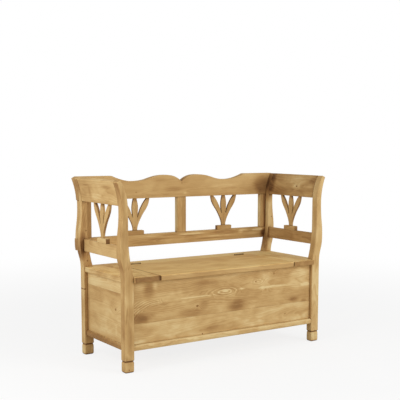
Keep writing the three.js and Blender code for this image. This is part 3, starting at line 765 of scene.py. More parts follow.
class Pine(Wiring):
    """Waxed pine for one board, wired step by step from the log to the surface."""

    def __init__(self, node):
        super().__init__(bpy.data.materials.new("pine " + node.replace("_", " ")))
        self.cut = SimpleNamespace(**{**PLAIN_CUT, **CUTS[node]})
        low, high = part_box(node)
        by_size = sorted(range(3), key=lambda k: high[k] - low[k])
        along = "XYZ".index(self.cut.along) if self.cut.along else by_size[2]
        through = "XYZ".index(self.cut.through) if self.cut.through else by_size[0]
        self.axes = (along, 3 - along - through, through)
        self.middle = [(low[k] + high[k]) / 2 for k in self.axes]
        where = self.node("ShaderNodeTexCoord").outputs
        self.normal = self.parts(where["Normal"])
        xyz = self.parts(where["Object"])
        self.u, self.v, self.t = (xyz[k] for k in self.axes)
        self.place = self.join(self.u, self.v, self.t)
        self.face = self.join(self.u, self.v, 0.0)
        self.drift = self.vector("ADD", self.place, [self.cut.seed * shift for shift in SEED_SHIFT])
        self.ripple = self.swing(RIPPLE_CELLS)

    def swing(self, per_metre):
        """Slow noise about nought."""
        return self.less(self.cells(self.drift, per_metre, 2.0), 0.5)

    def distance(self, along, across, half_long=1.0, half_wide=1.0):
        """The distance from a place on the board's face, in half lengths and half widths of an ellipse."""
        gap = self.vector("SUBTRACT", self.face, (along, across, 0))
        return self.vector("LENGTH", self.vector("MULTIPLY", gap, (1 / half_long, 1 / half_wide, 1.0)))

    def round_distance(self, along, across, stretch, uneven):
        """The distance from a place, in rounds that are stretched along the board and a little uneven."""
        return self.add(self.distance(along, across, stretch), self.times(self.ripple, uneven))

    def depth_in_log(self):
        """Distance from the heart of the log, with a slow wander so that no line runs dead straight."""
        far = self.less(self.u, self.middle[0])
        off_v, off_t = (
            self.less(self.less(at, middle + pith), self.times(far, lean)) for at, middle, pith, lean
            in zip((self.v, self.t), self.middle[1:], self.cut.pith, self.cut.lean))
        depth = self.vector("LENGTH", self.join(off_v, off_t, 0.0))
        wander = self.times(self.swing(WANDER_CELLS), WANDER_SHIFT)
        return self.add(depth, self.add(wander, self.times(self.ripple, RIPPLE_SHIFT)))

    def knots(self, depth):
        """Knots lift the rings round them, have a dark heart and set arcs in the wood beside them."""
        heart = arcs = 0.0
        for along, across, radius, dark, reach, stretch in self.cut.knots:
            far = self.round_distance(along, across, stretch, radius * KNOT_UNEVEN)
            near = self.ease(far, 0.0, radius * reach, 1.0, 0.0)
            depth = self.add(depth, self.times(near, radius * KNOT_LIFT))
            edge = (radius * share for share in KNOT_HEART)
            heart = self.math("MAXIMUM", heart, self.ease(far, *edge, dark, 0.0))
            wave = self.math("SINE", self.times(far, FULL_TURN / (radius * KNOT_ARCS)))
            arcs = self.add(arcs, self.times(wave, near, KNOT_ARC_CHANGE))
        return depth, heart, arcs

    def eyes(self, depth, arcs):
        """Eyes are nests of thin pale arcs, which end along and across the board and start some way out."""
        for along, across, spacing, reach, stretch, change, end, hollow, top in self.cut.eyes:
            far = self.round_distance(along, across, stretch, spacing * EYE_UNEVEN)
            near = self.times(
                self.ease(far, reach * EYE_CORE, reach, change, 0.0),
                self.ease(self.u, end - EYE_END_FADE, end, 1.0, 0.0),
                self.ease(far, hollow - EYE_HOLLOW_FADE, hollow),
                self.ease(self.v, top - EYE_TOP_FADE, top, 1.0, 0.0))
            depth = self.add(depth, self.times(near, EYE_SHIFT))
            wave = self.remap(self.math("SINE", self.times(far, FULL_TURN / spacing)), -1.0, 1.0)
            thin = self.less(self.math("POWER", wave, EYE_ARC_POWER), EYE_ARC_BASE)
            arcs = self.add(arcs, self.times(thin, near))
        return depth, arcs

    def across_rings(self, depth, cells, *look):
        """Noise that follows the rings, in long narrow cells."""
        along = self.times(self.u, cells[1])
        return self.noise(self.join(self.times(depth, cells[0]), along, self.cut.seed), 1.0, *look)

    def figure(self, depth, arcs):
        """Growth rings that darken slowly and end sharply, bands of rings, fine streaks and soft clouds."""
        cut = self.cut
        rings = self.math("DIVIDE", depth, cut.ring)
        uneven = self.noise(self.join(self.times(rings, DRIFT_CELLS), cut.seed, 0.0), 1.0, 2.0)
        phase = self.math("FRACT", self.add(rings, self.times(uneven, DRIFT)))
        ending = self.ease(phase, LATE_WOOD_END, 1.0, 1.0, 0.0)
        self.late = self.times(self.math("POWER", phase, LATE_WOOD_POWER), ending)
        bands = self.across_rings(depth, BAND_CELLS, 2.5, 0.55)
        self.streaks = self.across_rings(depth, STREAK_CELLS, 3.0, 0.6)
        mist = self.cells(self.drift, MIST_CELLS, 3.0, 0.5, 0.5)
        fog = self.cells(self.drift, FOG_CELLS, 3.0, 0.55, 0.8)
        band, streak = BAND_CHANGE * cut.contrast, STREAK_CHANGE * cut.contrast
        level = self.add(
            self.remap(bands, 0.3, 0.7, 1 - band, 1 + band),
            self.remap(self.streaks, 0.25, 0.75, -streak, streak),
            self.ease(mist, 0.28, 0.72, *(change * cut.clouds for change in MIST_CHANGE)),
            self.ease(fog, 0.3, 0.7, *(change * cut.clouds for change in FOG_CHANGE)))
        level = self.less(level, self.times(self.late, LATE_WOOD_CHANGE * cut.contrast))
        level = self.times(self.add(level, arcs, EVEN_LEVEL), 0.5 * cut.tone)
        warp = self.times(self.less(fog, 0.5), MARK_WARP)
        for along, across, half_long, half_wide, change in cut.marks:
            far = self.add(self.distance(along, across, half_long, half_wide), warp)
            level = self.add(level, self.ease(far, *MARK_FADE, change * cut.depth_of_marks, 0.0))
        return level

    def wear(self, level):
        """Painted shade in corners and the foot groove, standing also for wax; end grain darkened by wax, and
        on a post's down-facing ends by painted shade; painted light and shade on the narrow faces; rubbed
        edges lose some wax.
        """
        cut = self.cut
        lengthwise = self.normal[self.axes[0]]
        end = self.math("ABSOLUTE", lengthwise)
        # Painted shade under a post: ends that look down get all of the end-grain darkening, ends that look
        # up only a share.
        if cut.bright_top:
            end = self.math("MAXIMUM", self.times(lengthwise, -1.0), self.times(end, TOP_SHARE))
        self.broad = self.math("ABSOLUTE", self.normal[self.axes[2]])
        rub = self.node("ShaderNodeAttribute", attribute_name="rub").outputs["Fac"]
        changes = [
            self.ease(end, 0.06, 0.48, 1.0, cut.end_tone),
            # Painted light and shade: the narrow faces beside the broad ones are made lighter or darker than
            # the broad faces.
            self.ease(self.broad, *BROAD_FACE, cut.edge_tone, 1.0),
        ]
        # Painted shade, standing also for wax: darker where other wood stands within reach, in corners and
        # between parts.
        for reach, clear, dark in CORNER_SHADE_AND_WAX:
            changes.append(self.remap(self.crevice(reach), 0.35, clear, 1 - dark * cut.grime, 1.0))
        changes.append(self.remap(rub, 0.0, 1.0, 1.0, 1 + RUB_CHANGE))
        # Painted shade in the foot groove, standing also for wax: darker towards the groove's middle.
        if cut.groove:
            near, far, tone = GROOVE_SHADE_AND_WAX
            gap = self.math("ABSOLUTE", self.less(self.u, cut.groove))
            changes.append(self.ease(gap, near, far, tone, 1.0))
        return self.times(level, *changes)

    def board(self):
        """Runs through the steps and returns the finished material."""
        finish = bpy.context.scene.bench_finish
        depth, heart, arcs = self.knots(self.depth_in_log())
        level = self.times(self.wear(self.figure(*self.eyes(depth, arcs))), self.less(1.0, heart))
        colour = self.ramp(level, (finish.knot_wood, finish.old_wax_and_shade, finish.late_wood, finish.mid_wood,
                                   finish.early_wood, finish.bare_wood))
        if self.cut.sat_on:
            honey = self.vector("MULTIPLY", colour, HONEY)
            colour = self.mix(self.remap(self.broad, *BROAD_FACE), colour, honey)
        waxed = [finish.wax_roughness + spread for spread in WAX_SPREAD]
        roughness = self.remap(self.streaks, 0.2, 0.8, *(waxed if self.cut.waxed else BARE_ROUGHNESS))
        pores = self.cells(self.place, PORE_CELLS, 2.0, 0.6)
        relief = self.add(self.times(self.late, 0.5), self.times(pores, 0.5))
        relief = self.bump(self.less(relief, self.times(heart, 0.6)), 0.0004, 0.35)
        return self.surface(colour, roughness, relief, IOR=1.46, Specular_IOR_Level=0.14)


def plain_metal(name, colour, roughness):
    """Aged metal: uneven tarnish, fine scratches and a soft shine."""
    w = Wiring(bpy.data.materials.new(name))
    where = w.node("ShaderNodeTexCoord").outputs["Object"]
    tarnish = w.noise(where, TARNISH_CELLS, 4.0, 0.6)
    scratches = w.cells(where, SCRATCH_CELLS, 2.0)
    tone = w.mix(w.remap(tarnish, 0.4, 0.68), tuple(colour), [TARNISH_TONE * part for part in colour])
    rough = w.remap(tarnish, 0.3, 0.7, *(roughness + spread for spread in METAL_SPREAD))
    return w.surface(tone, rough, w.bump(scratches, 0.0001, 0.3), Metallic=1.0)


# What shows on the boards' faces, with places along and across a board in metres. A mark is a soft patch of
# lighter or darker wood: (along, across, half length, half width, change). A knot is (along, across,
# radius, darkness, reach, stretch). An eye is (along, across, spacing of its arcs, reach, stretch, change,
# where it ends along, how far out it starts, where it ends across).

FRONT_UPPER_MARKS = (
    (-0.442, 0.367, 0.03, 0.045, -0.11), (-0.494, 0.243, 0.066, 0.03, -0.2),
    (-0.214, 0.242, 0.074, 0.024, -0.12), (-0.139, 0.269, 0.029, 0.019, -0.08),
    (0.057, 0.245, 0.055, 0.031, -0.14), (0.122, 0.204, 0.025, 0.015, -0.07),
    (0.195, 0.201, 0.045, 0.026, -0.11), (-0.128, 0.38, 0.081, 0.012, -0.08),
    (0.417, 0.24, 0.034, 0.016, -0.1), (0.489, 0.205, 0.021, 0.027, -0.11),
    (-0.175, 0.313, 0.105, 0.0024, 0.17), (0.504, 0.314, 0.036, 0.01, 0.14),
    (0.305, 0.32, 0.098, 0.007, 0.09), (0.233, 0.318, 0.034, 0.01, 0.08),
    (-0.489, 0.393, 0.031, 0.023, 0.06), (0.462, 0.378, 0.061, 0.021, 0.08),
    (-0.411, 0.392, 0.015, 0.02, 0.09), (-0.016, 0.326, 0.022, 0.008, 0.2),
    (0.09, 0.327, 0.02, 0.004, 0.12),
)
FRONT_UPPER_KNOTS = (
    (-0.177, 0.268, 0.006, 0.55, 5.0, 1.4), (0.173, 0.355, 0.005, 0.32, 4.0, 1.2),
    (0.288, 0.386, 0.006, 0.26, 5.0, 1.4), (0.235, 0.311, 0.005, 0.22, 5.0, 1.8),
)
FRONT_UPPER_EYES = (
    (-0.016, 0.322, 0.0085, 0.034, 3.6, 0.42, 1.0, 0.0, 1.0),
    (-0.375, 0.215, 0.0085, 0.21, 1.7, 0.42, -0.36, 0.097, 0.328),
    (0.19, 0.352, 0.009, 0.026, 2.4, 0.22, 1.0, 0.0, 1.0),
)
FRONT_LOWER_MARKS = (
    (-0.502, 0.131, 0.037, 0.019, 0.07), (0.398, 0.141, 0.108, 0.021, 0.05),
    (-0.116, 0.148, 0.082, 0.015, -0.07), (-0.38, 0.133, 0.038, 0.014, -0.06),
    (0.126, 0.143, 0.1, 0.02, 0.04), (-0.47, 0.222, 0.084, 0.006, -0.05),
)
SIDE_LOWER_MARKS = (
    (0.077, 0.349, 0.085, 0.013, -0.11), (-0.091, 0.351, 0.075, 0.012, -0.11),
    (-0.084, 0.294, 0.04, 0.019, -0.07), (0.042, 0.17, 0.106, 0.029, 0.05),
    (-0.112, 0.18, 0.01, 0.024, 0.05), (0.176, 0.24, 0.014, 0.15, -0.08),
)
CREST_MARKS = (
    (-0.044, 0.803, 0.06, 0.016, -0.09), (0.013, 0.848, 0.031, 0.02, -0.05),
    # The first mark here darkens the crest's right end towards the rear post: painted shade in the corner.
    (0.53, 0.815, 0.06, 0.05, -0.24), (0.473, 0.786, 0.075, 0.017, -0.09),
    (0.269, 0.816, 0.11, 0.011, 0.05), (0.438, 0.864, 0.062, 0.016, 0.05),
    (-0.22, 0.776, 0.12, 0.008, -0.06), (-0.044, 0.78, 0.09, 0.008, -0.06),
    (-0.271, 0.794, 0.006, 0.004, -0.12), (0.001, 0.836, 0.006, 0.004, -0.12),
    (-0.139, 0.854, 0.048, 0.01, -0.04), (0.02, 0.782, 0.012, 0.005, 0.1), (0.2, 0.77, 0.4, 0.008, -0.05),
)
LOWER_RAIL_MARKS = (
    (0.296, 0.563, 0.105, 0.011, -0.12), (0.384, 0.559, 0.018, 0.009, 0.09),
    (0.508, 0.564, 0.036, 0.0055, 0.42), (0.545, 0.545, 0.028, 0.03, -0.26),
    (0.066, 0.5655, 0.075, 0.005, 0.2), (0.234, 0.545, 0.095, 0.004, 0.08),
    (0.195, 0.534, 0.12, 0.005, -0.11), (0.466, 0.546, 0.05, 0.009, 0.06),
    (-0.193, 0.565, 0.08, 0.004, 0.06), (-0.12, 0.549, 0.11, 0.005, -0.09),
    (0.05, 0.557, 0.09, 0.0022, -0.11), (-0.08, 0.567, 0.06, 0.007, -0.1),
    (0.395, 0.5665, 0.034, 0.0045, 0.1), (0.43, 0.558, 0.06, 0.002, -0.09),
)
RIGHT_ARM_MARKS = (
    (-0.048, 0.816, 0.036, 0.02, 0.11), (-0.045, 0.856, 0.11, 0.02, 0.1),
    (0.098, 0.784, 0.085, 0.022, -0.09), (-0.166, 0.849, 0.024, 0.016, -0.1),
    # The second mark here darkens the board's rear end beside the rear post: painted shade in the corner.
    (-0.142, 0.817, 0.042, 0.005, 0.05), (0.176, 0.825, 0.034, 0.07, -0.22),
    (-0.19, 0.839, 0.016, 0.047, -0.06), (-0.137, 0.796, 0.065, 0.015, -0.04),
)
LEFT_ARM_MARKS = (
    (-0.093, 0.843, 0.04, 0.01, -0.14), (0.079, 0.81, 0.015, 0.03, -0.09),
    (0.106, 0.845, 0.03, 0.005, -0.08), (-0.002, 0.794, 0.124, 0.014, 0.04),
    (-0.047, 0.8, 0.012, 0.005, -0.08),
)
LID_MARKS = (
    (0.119, 0.018, 0.05, 0.06, -0.06), (0.36, 0.04, 0.055, 0.06, -0.07), (0.003, -0.12, 0.055, 0.04, -0.05),
    (-0.3, -0.06, 0.08, 0.05, -0.03), (-0.3995, 0.0, 0.0024, 0.3, -0.4), (0.3995, 0.0, 0.0018, 0.3, -0.1),
)

# How each board is cut from the log. Its grain runs along its longest side and its thickness is its
# shortest, unless along and through name other axes.
# A post gets painted shade on its ends that look down, and painted shade in its foot groove.
POST_CUT = dict(bright_top=True, groove=FOOT_GROOVE_HEIGHT)
BARE_CUT = dict(waxed=False)
# A cut's edge tone paints light on its narrow faces where it is above one, and shade where it is below one.
CUTS = {
    "post_front_left": dict(
        POST_CUT, seed=1.0, tone=1.02, edge_tone=0.87, pith=(0.012, -0.03), contrast=1.35,
        marks=((0.377, -0.556, 0.1, 0.01, -0.07), (0.258, -0.562, 0.04, 0.012, -0.05),
               (0.379, -0.573, 0.14, 0.004, 0.04), (0.66, -0.56, 0.12, 0.008, -0.05),
               (0.018, -0.558, 0.036, 0.05, 0.09)),
        knots=((0.015, -0.557, 0.004, 0.5, 3.0, 1.0), (0.7, -0.59, 0.004, 0.3, 4.0, 2.0))),
    "post_front_right": dict(
        POST_CUT, seed=2.0, tone=1.08, pith=(-0.01, 0.05), clouds=0.7,
        marks=((0.56, 0.545, 0.09, 0.01, -0.05), (0.018, 0.558, 0.036, 0.05, 0.06))),
    "post_rear_left": dict(
        POST_CUT, seed=3.0, tone=0.82, edge_tone=1.32, pith=(0.03, 0.04), contrast=1.5,
        # The first mark darkens the front face beside the arm rail: a painted shadow of the rail, with some
        # stain.
        marks=((0.549, -0.583, 0.065, 0.018, -0.3), (0.66, -0.577, 0.06, 0.012, -0.1),
               (0.8, -0.6, 0.06, 0.01, -0.08), (0.24, -0.548, 0.12, 0.01, -0.06),
               (0.018, -0.558, 0.036, 0.05, 0.1)),
        knots=((0.331, -0.575, 0.006, 0.6, 5.0, 0.8), (0.618, -0.565, 0.004, 0.6, 4.0, 1.0),
               (0.47, -0.56, 0.005, 0.5, 4.0, 1.0))),
    "post_rear_right": dict(
        POST_CUT, seed=4.0, tone=1.04, edge_tone=1.18, pith=(0.03, -0.04),
        marks=((0.5, 0.541, 0.06, 0.014, -0.2), (0.83, 0.566, 0.085, 0.05, -0.36),
               (0.458, 0.57, 0.035, 0.01, 0.05), (0.56, 0.549, 0.05, 0.01, -0.12)),
        knots=((0.636, 0.578, 0.004, 0.75, 4.0, 1.0),)),
    "crest_rail": dict(
        seed=5.0, pith=(-0.03, -0.05), contrast=0.8, clouds=0.5, end_tone=0.75, marks=CREST_MARKS),
    "back_lower_rail": dict(
        seed=6.0, tone=0.97, pith=(0.0, -0.03), lean=(0.04, 0.03), contrast=1.3, clouds=0.6, grime=0.7,
        depth_of_marks=1.35, end_tone=0.7, marks=LOWER_RAIL_MARKS),
    "back_stile_centre": dict(
        seed=8.0, tone=0.94, edge_tone=1.35, pith=(0.0, -0.04), contrast=1.8, clouds=0.6),
    "back_stile_left": dict(
        seed=7.0, tone=0.79, edge_tone=1.3, pith=(0.02, -0.03), contrast=1.5, clouds=0.6),
    "back_stile_right": dict(
        seed=7.5, tone=0.94, edge_tone=1.3, pith=(-0.02, -0.03), clouds=0.6,
        # The mark darkens the stile along its edge by the rear post: painted shade in the corner.
        marks=((0.67, 0.553, 0.2, 0.016, -0.22),)),
    # The first mark on each back splat darkens the top of the petals under the crest rail: painted shadow.
    "back_splat_left": dict(
        along="Z", seed=9.0, clouds=0.6,
        marks=((0.758, -0.274, 0.012, 0.09, -0.14), (0.614, -0.278, 0.004, 0.004, -0.2))),
    "back_splat_right": dict(
        along="Z", seed=9.3, tone=0.94, clouds=0.6,
        marks=((0.758, 0.274, 0.012, 0.09, -0.12), (0.73, 0.335, 0.05, 0.012, -0.08))),
    "back_splat_block_left": dict(seed=10.0, tone=0.76, clouds=0.6),
    "back_splat_block_right": dict(seed=10.3, tone=0.87, clouds=0.6),
    "arm_top_board_left": dict(seed=11.0, tone=1.04, pith=(0.02, 0.06), clouds=0.8, marks=LEFT_ARM_MARKS),
    "arm_top_board_right": dict(
        seed=11.5, tone=0.92, pith=(-0.01, 0.06), contrast=1.2, marks=RIGHT_ARM_MARKS, depth_of_marks=1.25,
        knots=((-0.051, 0.817, 0.005, 0.65, 4.0, 1.3),)),
    "arm_lower_rail_left": dict(
        seed=12.0, tone=1.02, pith=(0.02, 0.04), clouds=0.6, marks=((-0.1, 0.572, 0.06, 0.004, -0.08),)),
    "arm_lower_rail_right": dict(
        seed=12.4, tone=0.86, pith=(0.0, 0.05), contrast=1.6, clouds=0.9,
        # Both marks darken the rail's rear end where it meets the rear post: painted shadow.
        marks=((0.18, 0.548, 0.012, 0.05, -0.16), (0.184, 0.552, 0.0035, 0.06, -0.3))),
    # The first mark on each arm splat darkens the top of the petals under the top board: painted shadow.
    "arm_splat_left": dict(along="Z", seed=9.6, clouds=0.5, marks=((0.757, -0.004, 0.01, 0.09, -0.12),)),
    "arm_splat_right": dict(
        along="Z", seed=9.8, tone=1.02, clouds=0.5, marks=((0.757, -0.004, 0.01, 0.09, -0.12),)),
    "arm_splat_block_left": dict(
        seed=10.6, tone=1.08, clouds=0.5, marks=((-0.051, 0.588, 0.004, 0.016, -0.26),)),
    "arm_splat_block_right": dict(seed=10.8, tone=1.04, contrast=1.5, clouds=0.8),
    "front_panel_upper": dict(
        seed=13.0, tone=1.03, pith=(0.01, -0.07), contrast=1.25, clouds=0.9, grime=0.6,
        marks=FRONT_UPPER_MARKS, depth_of_marks=1.4, knots=FRONT_UPPER_KNOTS, eyes=FRONT_UPPER_EYES),
    "front_panel_lower": dict(
        seed=13.4, tone=1.08, pith=(-0.02, -0.06), clouds=0.9, grime=0.5, depth_of_marks=1.2,
        marks=FRONT_LOWER_MARKS,
        knots=((-0.148, 0.129, 0.004, 0.6, 3.0, 1.0), (0.364, 0.169, 0.004, 0.4, 3.0, 1.0))),
    "back_panel_upper": dict(BARE_CUT, seed=13.8, tone=1.05, pith=(0.01, 0.06)),
    "back_panel_lower": dict(
        BARE_CUT, seed=14.2, tone=1.1, pith=(-0.02, 0.05),
        knots=((0.26, 0.19, 0.008, 0.6, 5.0, 1.5), (-0.33, 0.16, 0.006, 0.6, 5.0, 1.4))),
    # The mark along the top edge is a painted shadow under the overhanging seat end board.
    "side_panel_upper_left": dict(
        seed=14.6, tone=1.2, clouds=0.4, contrast=0.8, marks=((0.0, 0.415, 0.3, 0.0022, -0.22),)),
    "side_panel_lower_left": dict(
        seed=14.9, tone=1.03, pith=(0.01, 0.06), clouds=0.8, marks=SIDE_LOWER_MARKS, grime=0.6,
        knots=((-0.108, 0.276, 0.006, 0.45, 5.0, 1.6),)),
    "side_panel_upper_right": dict(seed=15.2, tone=1.08, clouds=0.6),
    "side_panel_lower_right": dict(
        seed=15.5, tone=1.04, pith=(0.02, -0.06), clouds=0.8,
        knots=((0.06, 0.23, 0.008, 0.6, 5.0, 1.5), (-0.07, 0.3, 0.005, 0.6, 4.0, 1.3))),
    "floor_board_front": dict(
        seed=16.0, tone=1.3, edge_tone=0.86, clouds=0.8, contrast=1.4, grime=0.1, pith=(0.02, -0.03)),
    "floor_board_rear": dict(
        seed=16.4, tone=1.02, clouds=0.8, contrast=1.4, grime=0.3, pith=(-0.02, -0.05)),
    "seat_end_board_left": dict(
        seed=17.0, tone=1.2, edge_tone=0.88, contrast=1.6, grime=0.5, sat_on=True,
        marks=((-0.04, -0.56, 0.06, 0.03, 0.04), (0.0, -0.4005, 0.3, 0.0026, -0.42),
               (-0.25, -0.403, 0.012, 0.007, -0.2), (-0.25, -0.527, 0.012, 0.008, -0.18))),
    "seat_end_board_right": dict(
        seed=17.4, tone=1.3, edge_tone=0.97, clouds=0.8, contrast=1.6, grime=0.3, sat_on=True,
        marks=((0.0, 0.44, 0.09, 0.04, -0.09), (0.13, 0.47, 0.06, 0.03, 0.05))),
    "seat_rear_strip": dict(seed=18.0, tone=1.36, clouds=0.5, contrast=0.9, grime=0.3, sat_on=True),
    "seat_lid": dict(
        seed=19.0, tone=1.17, edge_tone=0.8, clouds=0.4, grime=0.5, sat_on=True, pith=(0.03, -0.08),
        marks=LID_MARKS),
    "seat_cross_rail_left": dict(BARE_CUT, through="Z", seed=20.0, tone=1.08),
    "seat_cross_rail_right": dict(BARE_CUT, through="Z", seed=21.0, tone=1.1),
    "seat_end_bearer_left": dict(BARE_CUT, seed=22.0, tone=1.05),
    "seat_end_bearer_right": dict(BARE_CUT, seed=23.0, tone=1.12),
    "seat_rear_bearer": dict(BARE_CUT, seed=24.0, tone=1.08),
    "lid_batten_left": dict(BARE_CUT, seed=25.0, tone=1.1),
    "lid_batten_right": dict(BARE_CUT, seed=26.0, tone=1.06),
}


# Boards

def build_post(node, is_rear):
    """A right-hand post with a grooved and rounded foot; a rear one has a rebate for the back frame."""
    sizes = bpy.context.scene.bench_sizes
    low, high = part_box(node)
    line = [(LEG_INNER, 0.0), (OUTER, 0.0)] + outer_line() + inner_line()
    piece = sawn("worn_" + node, line, "Y", low[1], BACK_FRONT if is_rear else high[1])
    if is_rear:
        thicken_leg(piece, high[1])
    cut_across([FOOT_GROOVE_HEIGHT + k * FOOT_GROOVE_HALF for k in (-1, 0, 1)])
    pull_in(piece, FOOT_GROOVE_HEIGHT, (LEG_INNER, low[1]), (OUTER, high[1]), FOOT_GROOVE_DEPTH)

    def radius(first, second):
        if max(first.z, second.z) < TINY:
            return sizes.foot_round
        if max(first.z, second.z) < FOOT_GROOVE_HEIGHT - FOOT_GROOVE_HALF + TINY:
            return sizes.foot_arris
        if abs(first.z - second.z) < TINY and first.z < FOOT_GROOVE_HEIGHT + 2 * FOOT_GROOVE_HALF:
            return 0.0
        return sizes.post_arris

    return ease_edges(piece, radius)


def thicken_leg(piece, back):
    """Carries the rear face of a rear post's leg back under the rebate that holds the back frame."""
    cut_across([LOWER_RAIL_BOTTOM])
    front = max(vertex.co.y for vertex in piece.data.vertices)
    pick(piece, "FACE",
         lambda face: face.normal.y > FACING and face.calc_center_median().z < LOWER_RAIL_BOTTOM)
    bpy.ops.mesh.extrude_region_move(TRANSFORM_OT_translate={"value": (0, back - front, 0)})
    bpy.ops.object.mode_set(mode="OBJECT")


def both_sides(line):
    """A line drawn on the right, carried on by its mirror image on the left."""
    return line + [(-x, other) for x, other in line[::-1]]


def crest_line():
    """The outline of the crest rail: its curved ends, two humps, the cusp between them and two troughs."""
    low = BENCH_TOP - CREST_TROUGH_DEPTH
    hump_run = (CREST_TROUGH_FROM_CENTRE - CREST_HUMP_FROM_CENTRE) / 2
    flat_end = (CREST_FLAT_FROM_CENTRE, BENCH_TOP)
    trough = (CREST_TROUGH_FROM_CENTRE, low)
    hump = (CREST_HUMP_FROM_CENTRE, BENCH_TOP)
    cusp = (0.0, BENCH_TOP - CREST_CUSP_DEPTH)
    half = between(outer_line(), TOP_BOARD_BOTTOM, BENCH_TOP)
    half += [(OUTER + INNER_FLARE, BENCH_TOP), flat_end]
    half += quadratic(flat_end, (trough[0] + CREST_TROUGH_BEND, low), trough)
    half += bezier(trough, (trough[0] - hump_run, low), (hump[0] + hump_run, BENCH_TOP), hump)
    half += quadratic(hump, (CREST_CUSP_BEND, BENCH_TOP), cusp)
    return half + [(-x, z) for x, z in half[-2::-1]]


def splat_line():
    """The closed line of a tulip splat about its own centre line, standing on zero."""
    low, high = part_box("back_splat_block_left")
    height = TOP_BOARD_BOTTOM - LOWER_RAIL_TOP - (high[2] - low[2])

    def put(share):
        return (share[0] * SPLAT_HALF_WIDTH, share[1] * height)

    foot = put(SLOT_FOOT_SHARES)
    outside = through([(SPLAT_STEM_HALF, 0.0)] + [put(s) for s in PETAL_OUTER_SHARES])
    inside = through([put(s) for s in PETAL_INNER_SHARES] + [(foot[0] + SPLAT_SLOT_FOOT, foot[1])])
    middle = through([foot] + [put(s) for s in PETAL_MIDDLE_SHARES])
    return both_sides(outside + inside + middle)


def board(node, radius=None, **reach):
    """A squared board with eased edges in the place of a node; x, y or z give it another reach there."""
    low, high = zip(*(reach.get(axis, own) for axis, own in zip("xyz", zip(*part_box(node)))))
    return ease_edges(plank("eased_" + node, low, high), radius or bpy.context.scene.bench_sizes.fine_arris)


class OBJECT_OT_bench_posts(bpy.types.Operator):
    """Saws a front and a rear post, with their grooved and rounded feet, and copies them to the left"""

    bl_idname = "object.bench_posts"
    bl_label = "Posts"

    def execute(self, context):
        for row in ("front", "rear"):
            node = f"post_{row}_right"
            place_pair(build_post(node, row == "rear"), node, "post_pine")
        return {"FINISHED"}


class OBJECT_OT_bench_back(bpy.types.Operator):
    """Makes the back frame: crest rail, lower rail and stiles"""

    bl_idname = "object.bench_back"
    bl_label = "Back frame"

    def execute(self, context):
        arris = context.scene.bench_sizes.board_arris
        rail_end = between(outer_line(), LOWER_RAIL_BOTTOM, LOWER_RAIL_TOP)
        for node, line in (("crest_rail", crest_line()), ("back_lower_rail", both_sides(rail_end))):
            rail = sawn("eased_" + node, line, "Y", BACK_FRONT, BACK_REAR)
            place(ease_edges(rail, arris), node)
        inner = OUTER - END_STILE_INSET
        line = between(outer_line(), LOWER_RAIL_TOP, TOP_BOARD_BOTTOM)
        line += [(inner, TOP_BOARD_BOTTOM), (inner, LOWER_RAIL_TOP)]
        stile = sawn("eased_back_stile_right", line, "Y", BACK_FRONT, STILE_REAR)
        place_pair(ease_edges(stile, arris), "back_stile_right")
        centre = board("back_stile_centre", arris, x=(-CENTRE_STILE_HALF, CENTRE_STILE_HALF),
                       y=(BACK_FRONT, STILE_REAR), z=(LOWER_RAIL_TOP, TOP_BOARD_BOTTOM))
        place(centre, "back_stile_centre")
        return {"FINISHED"}


class OBJECT_OT_bench_splats(bpy.types.Operator):
    """Saws one tulip splat and its block, and copies them to the back and the arms"""

    bl_idname = "object.bench_splats"
    bl_label = "Tulip splats"

    def execute(self, context):
        for kind, make in (("splat", self.splat), ("splat_block", self.block)):
            back, arm = f"back_{kind}_right", f"arm_{kind}_right"
            piece = make(context, back)
            place_pair(turned_copy(piece, back, arm), arm)
            place_pair(piece, back)
        return {"FINISHED"}

    def splat(self, context, node):
        low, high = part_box(node)
        centre = (low[0] + high[0]) / 2
        line = [(centre + x, low[2] + z) for x, z in splat_line()]
        piece = sawn("eased_" + node, line, "Y", low[1], high[1])
        return ease_edges(piece, context.scene.bench_sizes.fine_arris, segments=2)

    def block(self, context, node):
        sizes = context.scene.bench_sizes
        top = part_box(node)[1][2]

        def radius(first, second):
            across = abs(first.y - second.y) > TINY
            return sizes.block_round if across and min(first.z, second.z) > top - TINY else sizes.fine_arris

        return board(node, radius)


class OBJECT_OT_bench_arms(bpy.types.Operator):
    """Makes the arms' curved top boards and lower rails"""

    bl_idname = "object.bench_arms"
    bl_label = "Arms"

    def execute(self, context):
        arris = context.scene.bench_sizes.board_arris
        line = between(outer_line(ARM_BOARD_SETBACK), TOP_BOARD_BOTTOM, BENCH_TOP)
        line += between(inner_line(ARM_BOARD_SETBACK), TOP_BOARD_BOTTOM, BENCH_TOP)
        top = sawn("eased_arm_top_board_right", line, "Y", *BETWEEN_POSTS)
        place_pair(ease_edges(top, arris), "arm_top_board_right")
        place_pair(board("arm_lower_rail_right", arris, y=BETWEEN_POSTS), "arm_lower_rail_right")
        return {"FINISHED"}


